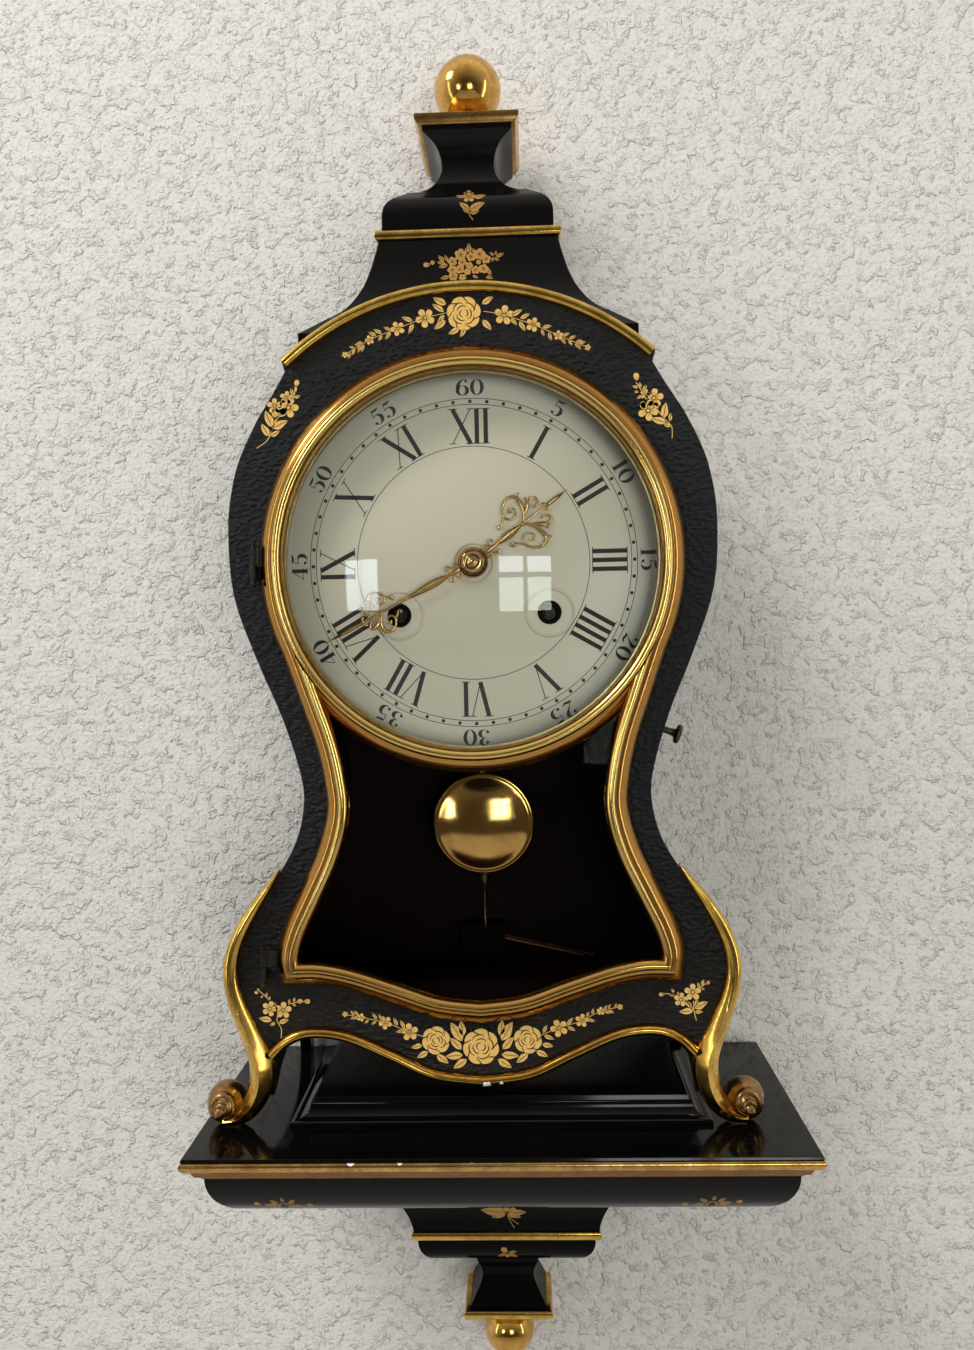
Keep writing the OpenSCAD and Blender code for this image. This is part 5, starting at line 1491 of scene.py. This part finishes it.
apron_leaves = [(9.4, 40.4, 14.6, 49.4), (8.8, 42.8, 9.8, 50.2), (9.8, 36.4, 15, 42), (9.2, 33.8, 17.4, 33),
    (7.4, 31.6, 13.8, 27.4), (21.6, 34, 16, 29.8), (25.6, 35.4, 31, 32.6), (28.4, 38.6, 33.6, 37.4)]
APRON_BLOSSOMS = {
    -1: [(34.2, 44.9, 4.2), (45.6, 49.5, 3.2), (57.1, 52.1, 2.0), (64.6, 53.7, 1.4)],
    1: [(36.5, 46.1, 4.2), (47.3, 49.6, 3.2), (56.3, 54.0, 2.0), (65.3, 55.9, 1.4)],
}
for side, blossoms in APRON_BLOSSOMS.items():
    blossoms = [(side * x, z, radius) for x, z, radius in blossoms]
    apron_roses.rose(side * 21.7, 40.8, 6.7, 20 * side, 6)
    apron_roses.vine([(side * 27.2, 42.6)] + [(x, z) for x, z, _ in blossoms], 1.0, 1.0, 5.0, 2.4, blossoms)
    for x, z, radius in blossoms:
        apron_roses.flower(x, z, radius, 23 * side * x)
    apron_roses.draw([("leaf", side * x, z, side * u, v) for x, z, u, v in apron_leaves])
print("garlands:", len(arch_roses.gold.faces), "and", len(apron_roses.gold.faces), "faces of gold")

# %% The gold is laid
arch_roses.lay("arch_garland", FRONT_D)
apron_roses.lay("apron_garland", FRONT_D)
corners.lay("corner_sprays", FRONT_D)
CURVED = [("skirt", FRONT_D, crown_skirt), ("cap", FRONT_D, crown_cap), ("bowl_left", 143, bowl_piece),
    ("bowl_right", 143, bowl_piece), ("corbel", 90, corbel_piece), ("cup", 60, cup_piece)]
for name, depth, tier in CURVED:
    spray = Spray()
    spray.draw(ON_TIERS[name])
    spray.lay(f"{name}_spray", depth, tier, 0.10)
print("sprays painted:", len(CORNERS) + len(ON_TIERS) + 2)

# %% [markdown]
# ## The hands
# Each hand is pierced from brass: a little cluster at the boss, a grooved blade, a knot, and two scrolls
# that grow from a leaf and curl back on themselves before the spear. Scrolls are drawn as centre lines,
# each swept as a fine round wire whose radius swells and dies, then pressed a little flat.

# %% Wires and beads
LIFT = 0.35


def wire(points, sizes, steps=6):
    rows = smooth_curve([[*place, size] for place, size in zip(points, sizes)], steps)
    piece = tube("wire", [(x, y, 0, max(size * 1.3, 0.02)) for x, y, size in rows], 3)
    piece.data.transform(Matrix.Translation((0, 0, LIFT * MM)) @ Matrix.Diagonal((1, 1, 0.75, 1)))
    return piece


def both(make):
    """A wire and its twin on the other side of the hand."""
    first = make()
    second = first.copy()
    second.data = first.data.copy()
    bpy.context.scene.collection.objects.link(second)
    second.data.transform(Matrix.Diagonal((-1, 1, 1, 1)))
    return [first, second]


def bead(x, y, radius):
    """A small ball pressed flat, as the scrolls' ends are."""
    alone()
    bpy.ops.mesh.primitive_uv_sphere_add(segments=14, ring_count=8, radius=radius * MM)
    piece = bpy.context.object
    piece.data.transform(Matrix.Translation((x * MM, y * MM, LIFT * MM)) @ Matrix.Diagonal((1, 1, 0.7, 1)))
    return piece


print("wires and beads lie", LIFT, "mm over the hand's back")

# %% The scrolls
def scrolls(base, k):
    """The pair of C scrolls with their crest leaves, k times the hour hand's size."""
    def pair(rows, sizes):
        return both(lambda: wire([(x * k, base + y * k) for x, y in rows], sizes))
    parts = pair([(0.2, 0.2), (2.3, 2.4), (6.7, 4.7), (12.2, 4.9), (14.1, 0.9), (11.8, -3.2), (8, -5.2),
        (5.2, -3.6), (5.1, -0.5), (7.7, 1.0), (9.3, -0.2), (8.6, -1.9), (7.6, -1.3)],
        [0.35, 0.5, 0.65, 0.75, 0.62, 0.5, 0.42, 0.38, 0.36, 0.34, 0.32, 0.36, 0.42])
    parts += pair([(8, -5.2), (6.2, -7.8), (4.3, -9.0), (4.9, -10.6), (6.1, -9.9)],
        [0.42, 0.4, 0.36, 0.4, 0.5])
    parts += pair([(2.3, 2.4), (4.6, 5.8), (7.0, 8.0), (9.6, 8.4)], [0.3, 0.75, 0.8, 0.12])
    parts += pair([(4.4, 4.6), (6.4, 8.2), (8.6, 10.4)], [0.3, 0.7, 0.1])
    parts += pair([(2.3, 2.6), (5.0, 7.4), (7.0, 10.2), (6.4, 12.2), (3.8, 11.9), (2.6, 9.7), (3.7, 8.8)],
        [0.3, 0.42, 0.5, 0.5, 0.42, 0.36, 0.42])
    parts += pair([(11.4, 5.0), (12.8, 7.0), (13.6, 6.2)], [0.3, 0.4, 0.1])
    parts += both(lambda: bead(6.1 * k, base - 9.9 * k, 0.62 * k))
    return parts + both(lambda: bead(7.9 * k, base - 0.9 * k, 0.6 * k))


print("scrolls drawn")

# %% [markdown]
# The cluster at the boss and the spear's collar are short wires and beads. The blade and the spear are run
# as mouldings along a straight line, with a section that grows and shrinks by a rule.

# %% Clusters, blades and spears
def cluster(y):
    parts = both(lambda: wire([(0.3, y - 3.6), (2.2, y - 4.2), (3.4, y - 2.6), (2.3, y - 1.7),
        (1.7, y - 2.5)], [0.4, 0.45, 0.4, 0.38, 0.42], 4))
    parts += both(lambda: wire([(0.3, y + 0.2), (2.4, y - 0.4), (3.9, y + 0.9), (3.0, y + 2.1),
        (2.2, y + 1.4)], [0.4, 0.45, 0.4, 0.38, 0.42], 4))
    return parts + [wire([(0, y - 5), (0, y - 1.5), (0, y + 3)], [0.7, 0.9, 0.6], 4), bead(0, y - 1.8, 1.1)]


def blade(start, end, wide, full):
    """A long leaf with a groove down its middle, widest at full."""
    section = [(-1, 0), (-0.9, 0.5), (-0.55, 0.78), (-0.25, 0.42), (0, 0.30), (0.25, 0.42), (0.55, 0.78),
        (0.9, 0.5), (1, 0)]

    def rule(place):
        share = place / full if place < full else (1 - place) / (1 - full)
        half = wide / 2 * (0.36 + 0.64 * max(math.sin(math.pi / 2 * share), 0))
        return [(s * half, out) for s, out in section]
    return run_moulding("blade", [(0, start + (end - start) * k / 20) for k in range(21)], rule)


def spear(start, end):
    def rule(place):
        half = 0.15 + 1.0 * math.sin(math.pi * min(1, 0.22 + place * 0.78)) ** 1.3 * (1 - 0.35 * place)
        return [(-half, 0), (-half * 0.4, 0.45), (0, 0.62), (half * 0.4, 0.45), (half, 0)]
    parts = [run_moulding("spear", [(0, start + (end - start) * k / 14) for k in range(15)], rule)]
    parts += both(lambda: wire([(0.2, start + 0.4), (1.7, start + 0.2), (2.0, start - 1.0)],
        [0.4, 0.45, 0.3], 4))
    return parts + [bead(0, start + 0.3, 1.0), bead(0, start - 1.6, 0.6)]


print("clusters, blades and spears drawn")

# %% [markdown]
# The pieces of a hand lie flat, pointing up, are joined, and are then stood on the dial and turned to the
# time. The hour hand's scrolls are the larger, the minute hand's sit further out.

# %% The hands
def hand(name, parts, depth, angle, body, node):
    whole = joined(name, parts)
    stand(whole, depth, 0, DIAL_Z, angle)
    return dressed(settle(whole, 50), hand_brass, body, "gilt_brass", node)


HOUR_D, MINUTE_D = DIAL_D + 2.4, DIAL_D + 5.4
boss = turned("boss", [(2.2, 0), (6.9, 0), (7.3, 0.4), (6.9, 0.8), (2.2, 0.8), (2.2, 0)], 48)
hand("hour_hand_brass", [boss, *cluster(11.6), blade(13.5, 28.9, 4.0, 0.55), bead(0, 30.3, 1.35),
    wire([(0, 30), (0, 38), (0, 44)], [0.55, 0.38, 0.42], 3), *scrolls(30.3, 1.0), *spear(44, 57.4)],
    HOUR_D, 53.5, "hour", "hour_hand")
boss = turned("boss", [(1.9, 0), (6.4, 0), (6.8, 0.35), (6.4, 0.7), (1.9, 0.7), (1.9, 0)], 48)
hand("minute_hand_brass", [boss, *cluster(11.2), blade(13.2, 37.5, 4.0, 0.3), bead(0, 39.5, 1.3),
    wire([(0, 37), (0, 42), (0, 60)], [0.6, 0.6, 0.45], 4), *scrolls(49.0, 0.72), bead(0, 41.6, 0.8),
    *spear(59.5, 81.6)], MINUTE_D, 242.5, "minute", "minute_hand")
low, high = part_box("hand_nut")
nut = turned("hand_nut_brass", [(0, 0), (7.1, 0), (7.3, 0.5), (7.0, 1.0), (6.6, 1.25), (6.2, 1.9),
    (5.4, 2.6), (4.5, 3.1), (3.6, 3.35), (3.3, 3.3), (3.1, 3.5), (2.6, 3.95), (2.0, 4.25), (1.7, 4.2),
    (1.5, 4.35), (1.0, 4.5), (0.6, 4.45), (0, 4.3)])
stand(nut, MINUTE_D + 0.7, 0, DIAL_Z)
dressed(settle(nut, 50), nut_brass, "minute", "gilt_brass", "hand_nut")
print("hands are on")

# %% [markdown]
# ## The domed glass and the pane below
# The dial's glass is blown to a shallow dome, so it catches the room's light low on the left, and the pane
# below it is flat. The dome is turned like the balls, as a shell just under two millimetres thick. The pane
# is the frame's own sub-part, the door's inner line filled in, and only gets its glass.

# %% Glass
low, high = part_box("dial_glass")
rise, reach = 14.0, 87.6
dome_r = (reach * reach + rise * rise) / (2 * rise)
spread = math.asin(reach / dome_r)
outer = [(dome_r * math.sin(spread * k / 26),
    dome_r * math.cos(spread * k / 26) - dome_r + rise) for k in range(27)]
glass = turned("dial_glass_dome", outer + [(90.7, 0)], 128)
GLASS_D = DOOR_D + 3.4
stand(glass, GLASS_D, 0, DIAL_Z)
settle(glass, 60)
alone(glass)
shell = glass.modifiers.new("thick", "SOLIDIFY")
shell.thickness, shell.offset = 1.8 * MM, -1
bpy.ops.object.modifier_apply(modifier=shell.name)
dressed(settle(glass, 60), dome_glass, "door", "glass", "dial_glass")
print("dome rises", round((low.y - glass.bound_box[0][1]) * 1000, 2), "mm beyond the sub-part's front")

# %% [markdown]
# ## The bob, the knob and the case's bent sides
# The bob is a lens of polished brass with a rim line. The knob is a flat disc on a stem, square to the
# case's slope. The sides are bent panels, which the frame holds as flat facets, so a copy is merged and
# shaded smooth, and stands for the sub-part. The small round parts get the same.

# %% Bob and knob
low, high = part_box("pendulum_bob")
middle = (low + high) / 2
lens = [(0, 4.5), (4, 4.45), (9, 4.1), (14, 3.45), (18.5, 2.6), (22, 1.8), (24.2, 1.25), (25.2, 1.1),
    (25.8, 1.25), (26.6, 1.15), (27.3, 0.7), (27.5, 0)]
bob = turned("pendulum_bob_brass", lens + [(r, -h) for r, h in reversed(lens)][1:], 96)
bob.matrix_world = Matrix.Translation(middle) @ Matrix.Rotation(math.radians(90), 4, "X")
dressed(settle(bob, 45), bob_brass, "pendulum", "polished_brass", "pendulum_bob")
knob = turned("latch_knob_iron", [(0, -13), (1.6, -13), (1.6, -8.5), (1.6, 5.5), (1.9, 7.5), (2.6, 8.3),
    (4.1, 8.5), (4.6, 8.9), (4.7, 9.6), (4.6, 10.3), (4.1, 10.7), (2.4, 10.85), (0, 10.9)], 40)
guard = turned("guard", [(0, -9.7), (3.2, -9.7), (3.2, -8.3), (0, -8.3)], 32)
knob = joined("latch_knob_iron", [knob, guard])
knob.matrix_world = Matrix.Translation(row(87.4, FRONT_D - 14, 186)) \
    @ Matrix.Rotation(math.radians(110), 4, "Y")
dressed(settle(knob, 40), iron, "latch", "iron", "latch_knob")
print("bob at", [round(v, 4) for v in middle])

# %% Smooth copies of the frame's round and bent parts
def smooth_copy(node, name, finish, body, slot, angle=30):
    """A merged, smoothly shaded copy of a sub-part that stands for it."""
    piece = frame["nodes"][node].copy()
    piece.data = piece.data.copy()
    for key in list(piece.keys()):
        del piece[key]
    piece.parent = None
    piece.matrix_world = Matrix.Identity(4)
    piece.name = name
    bpy.context.scene.collection.objects.link(piece)
    edit(piece)
    bpy.ops.mesh.remove_doubles(threshold=0.002 * MM)
    bpy.ops.mesh.dissolve_limited(angle_limit=math.radians(0.5))
    alone(piece)
    bpy.ops.object.shade_smooth_by_angle(angle=math.radians(angle))
    return dressed(piece, finish, body, slot, node)


for word in ("left", "right"):
    smooth_copy(f"side_panel_{word}", f"side_{word}_black", lacquer, "case", "black_lacquer")
SMALL = [("hinge_pins", "case", hinge_brass), ("door_knuckles", "door", hinge_brass),
    ("rating_nut", "rating", rod_dark), ("pendulum_rod", "pendulum", rod_dark), ("latch_bush", "case",
    iron)]
for node, body, finish in SMALL:
    slot = next(s["material_slot"] for s in frame["record"]["subparts"] if s["node"] == node)
    smooth_copy(node, node + "_turned", finish, body, slot, 40)
print("smooth copies stand for the frame's facets")

# %% [markdown]
# ## Finishes for the sub-parts that stay
# The front board, the inner boards of the case, the dial, the works and the lower pane already have their
# true shapes, so they keep their solids and only get their finish.

# %% Finishes on the frame's own pieces
STAY = {
    front_black: ["front_plate"],
    lacquer: ["top_board", "dial_surround"],
    back_wood: ["back_board"],
    inside_wood: ["floor_board"],
    cream: ["dial"],
    works_brass: ["movement_plates", "movement_pillars", "barrels", "suspension_cock", "glass_ring",
        "hour_wheel", "minute_wheel", "centre_arbor"],
    steel: ["hanger_plates", "motion_stud"],
    arbor_shaded_steel: ["winding_arbor_left", "winding_arbor_right"],
    block_black: ["gong_block"],
    copper: ["gong_rods"],
    pane_glass: ["lower_glass"],
}
for finish, names in STAY.items():
    for name in names:
        node = frame["nodes"][name]
        node.data.materials.clear()
        node.data.materials.append(finish)
replaced = set(frame["nodes"]) - {name for names in STAY.values() for name in names}
print("dressed over or replaced:", sorted(replaced))

# %% [markdown]
# ## The wall and the floor
# The clock hangs on a pale rough-cast wall, and a plain floor lies well below it. Both are stage pieces and
# take the clock's shadow. From behind they are clear, so the clock's back can be seen, and they let through
# the light that is on its way to something else, so the back isn't black. The rough cast is three layers
# of noise: the coat, the skim over it, and sand.

# %% Wall and floor
def pale(name, tone, warmer, lighter, rough_cast):
    """tone is the paint's grey; warmer and lighter are the shares of its two clouded colours."""
    paint = Finish(name, Roughness=0.9)
    clear = paint.node("ShaderNodeNewGeometry", output="Backfacing")
    for word in ("Is Diffuse Ray", "Is Shadow Ray"):
        clear = clear.most(paint.node("ShaderNodeLightPath", output=word))
    first, second = [shade(*[tone * part for part in parts]) for parts in (warmer, lighter)]
    paint.wear(Base_Color=paint.mix(paint.noise(160, 3), first, second))
    if rough_cast:
        coat = paint.band(paint.noise(13, 5, 0.62), 0.49, 0.56)
        skim = paint.band(paint.noise(6.5, 4, 0.6), 0.56, 0.62)
        sand = paint.band(paint.noise(2.4, 4, 0.6), 0.45, 0.75)
        paint.relief(coat * 0.55 + skim * 0.55 + sand * 0.4 + paint.noise(9, 3) * 0.8, 1.0)
    paint.blended(clear, paint.shader, paint.tree.nodes.new("ShaderNodeBsdfTransparent"))
    return paint.material


alone()
bpy.ops.mesh.primitive_plane_add(size=5, location=(0, 1.2 * MM, 0.6), rotation=(math.radians(90), 0, 0))
wall = bpy.context.object
wall.name = "wall"
wall.data.materials.append(pale("rough_cast", 0.66, (1, 0.965, 0.915), (1.05, 1.02, 0.98), True))
bpy.ops.mesh.primitive_plane_add(size=5, location=(0, -2.3, -1.3))
floor = bpy.context.object
floor.name = "floor"
floor.data.materials.append(pale("pale_floor", 0.45, (1, 1, 1), (1.04, 1.04, 1.04), False))
print("wall faces", [round(v, 2) for v in wall.matrix_world.to_3x3() @ Vector((0, 0, 1))])

# %% [markdown]
# ## The light
# The world stands for the room: dark in front of the clock and low down, and paler upwards and towards
# the wall, which gives the gilding something to mirror. What the camera sees past the wall is plain and
# pale.

# %% The room around
world = bpy.data.worlds.new("room")
bpy.context.scene.world = world
world.use_nodes = True
world.node_tree.nodes.clear()


def room_node(kind, settings=None, values=()):
    """A node of the world; a value is a number, a colour or another node's output."""
    made = world.node_tree.nodes.new(kind)
    for key, value in (settings or {}).items():
        setattr(made, key, value)
    for key, value in dict(values).items():
        if isinstance(value, bpy.types.NodeSocket):
            world.node_tree.links.new(value, made.inputs[key])
        else:
            made.inputs[key].default_value = value
    return made


toward = room_node("ShaderNodeTexCoord").outputs["Generated"]
apart = room_node("ShaderNodeSeparateXYZ", None, {0: toward}).outputs
lie = room_node("ShaderNodeMath", {"operation": "MULTIPLY_ADD"}, {0: apart["Z"], 1: 0.45, 2: apart["Y"]})
share = room_node("ShaderNodeMapRange", None,
    {"Value": lie.outputs[0], "From Min": -0.92, "From Max": 0.20})
tint = room_node("ShaderNodeMix", {"data_type": "RGBA"},
    {0: share.outputs[0], 6: shade(0.06, 0.05, 0.04), 7: shade(0.86, 0.82, 0.765)})
room = room_node("ShaderNodeBackground", None, {"Color": tint.outputs[2]})
plain = room_node("ShaderNodeBackground", None, {"Color": shade(0.74, 0.72, 0.69)})
seen = room_node("ShaderNodeLightPath").outputs["Is Camera Ray"]
either = room_node("ShaderNodeMixShader", None, {0: seen, 1: room.outputs[0], 2: plain.outputs[0]})
room_node("ShaderNodeOutputWorld", None, {"Surface": either.outputs[0]})
print("the world has", len(world.node_tree.nodes), "nodes")

# %% [markdown]
# The strongest light comes from a high window on the left. That lamp and the room's fill are hidden from
# reflections, because they would draw hard shapes in the domed glass. The gilding is lit for its glints by
# its own lamp above and by a narrow strip at each side, and the soft panes of two windows show in the
# dome and the bob.

# %% Lamps
def soft_lamp(name, place, wide, high, power, tint, mirrored=True, aim=(0, 0, 0.25)):
    lamp = bpy.data.lights.new(name, "AREA")
    lamp.shape, lamp.size, lamp.size_y, lamp.energy, lamp.color = "RECTANGLE", wide, high, power, tint
    stand_in = placed(name, lamp)
    stand_in.location = place
    stand_in.rotation_euler = (Vector(aim) - Vector(place)).to_track_quat("-Z", "Y").to_euler()
    stand_in.visible_glossy = mirrored


soft_lamp("high_window", (-0.95, -1.35, 1.80), 0.72, 0.72, 25, (1.0, 0.98, 0.955), mirrored=False)
soft_lamp("gilding_light", (-1.65, -0.85, 1.75), 0.6, 0.6, 15, (1.0, 0.98, 0.95), aim=(0, 0, 0.3))
soft_lamp("room_fill", (0.85, -2.2, 0.0), 1.0, 1.0, 16, (1.0, 0.975, 0.94), mirrored=False)
for x, power in ((-1.6, 2.3), (1.6, 3.6)):
    soft_lamp("gilding_strip", (x, -0.85, 0.35), 0.10, 1.5, power, (1.0, 0.97, 0.90), aim=(0, 0, 0.3))
for x in (-1.19, -1.01):
    soft_lamp("left_curtain", (x, -2.0, 0.26), 0.15, 0.46, 2.0, (0.84, 0.94, 1.0))
for x in (0.24, 0.48):
    soft_lamp("right_pane", (x, -2.0, 0.15), 0.20, 0.28, 1.3, (0.86, 1.0, 0.86))
    soft_lamp("right_transom", (x, -2.0, 0.40), 0.20, 0.13, 0.7, (0.90, 0.97, 1.0))
bpy.context.scene.view_settings.view_transform = "Standard"

# %% [markdown]
# ## The end
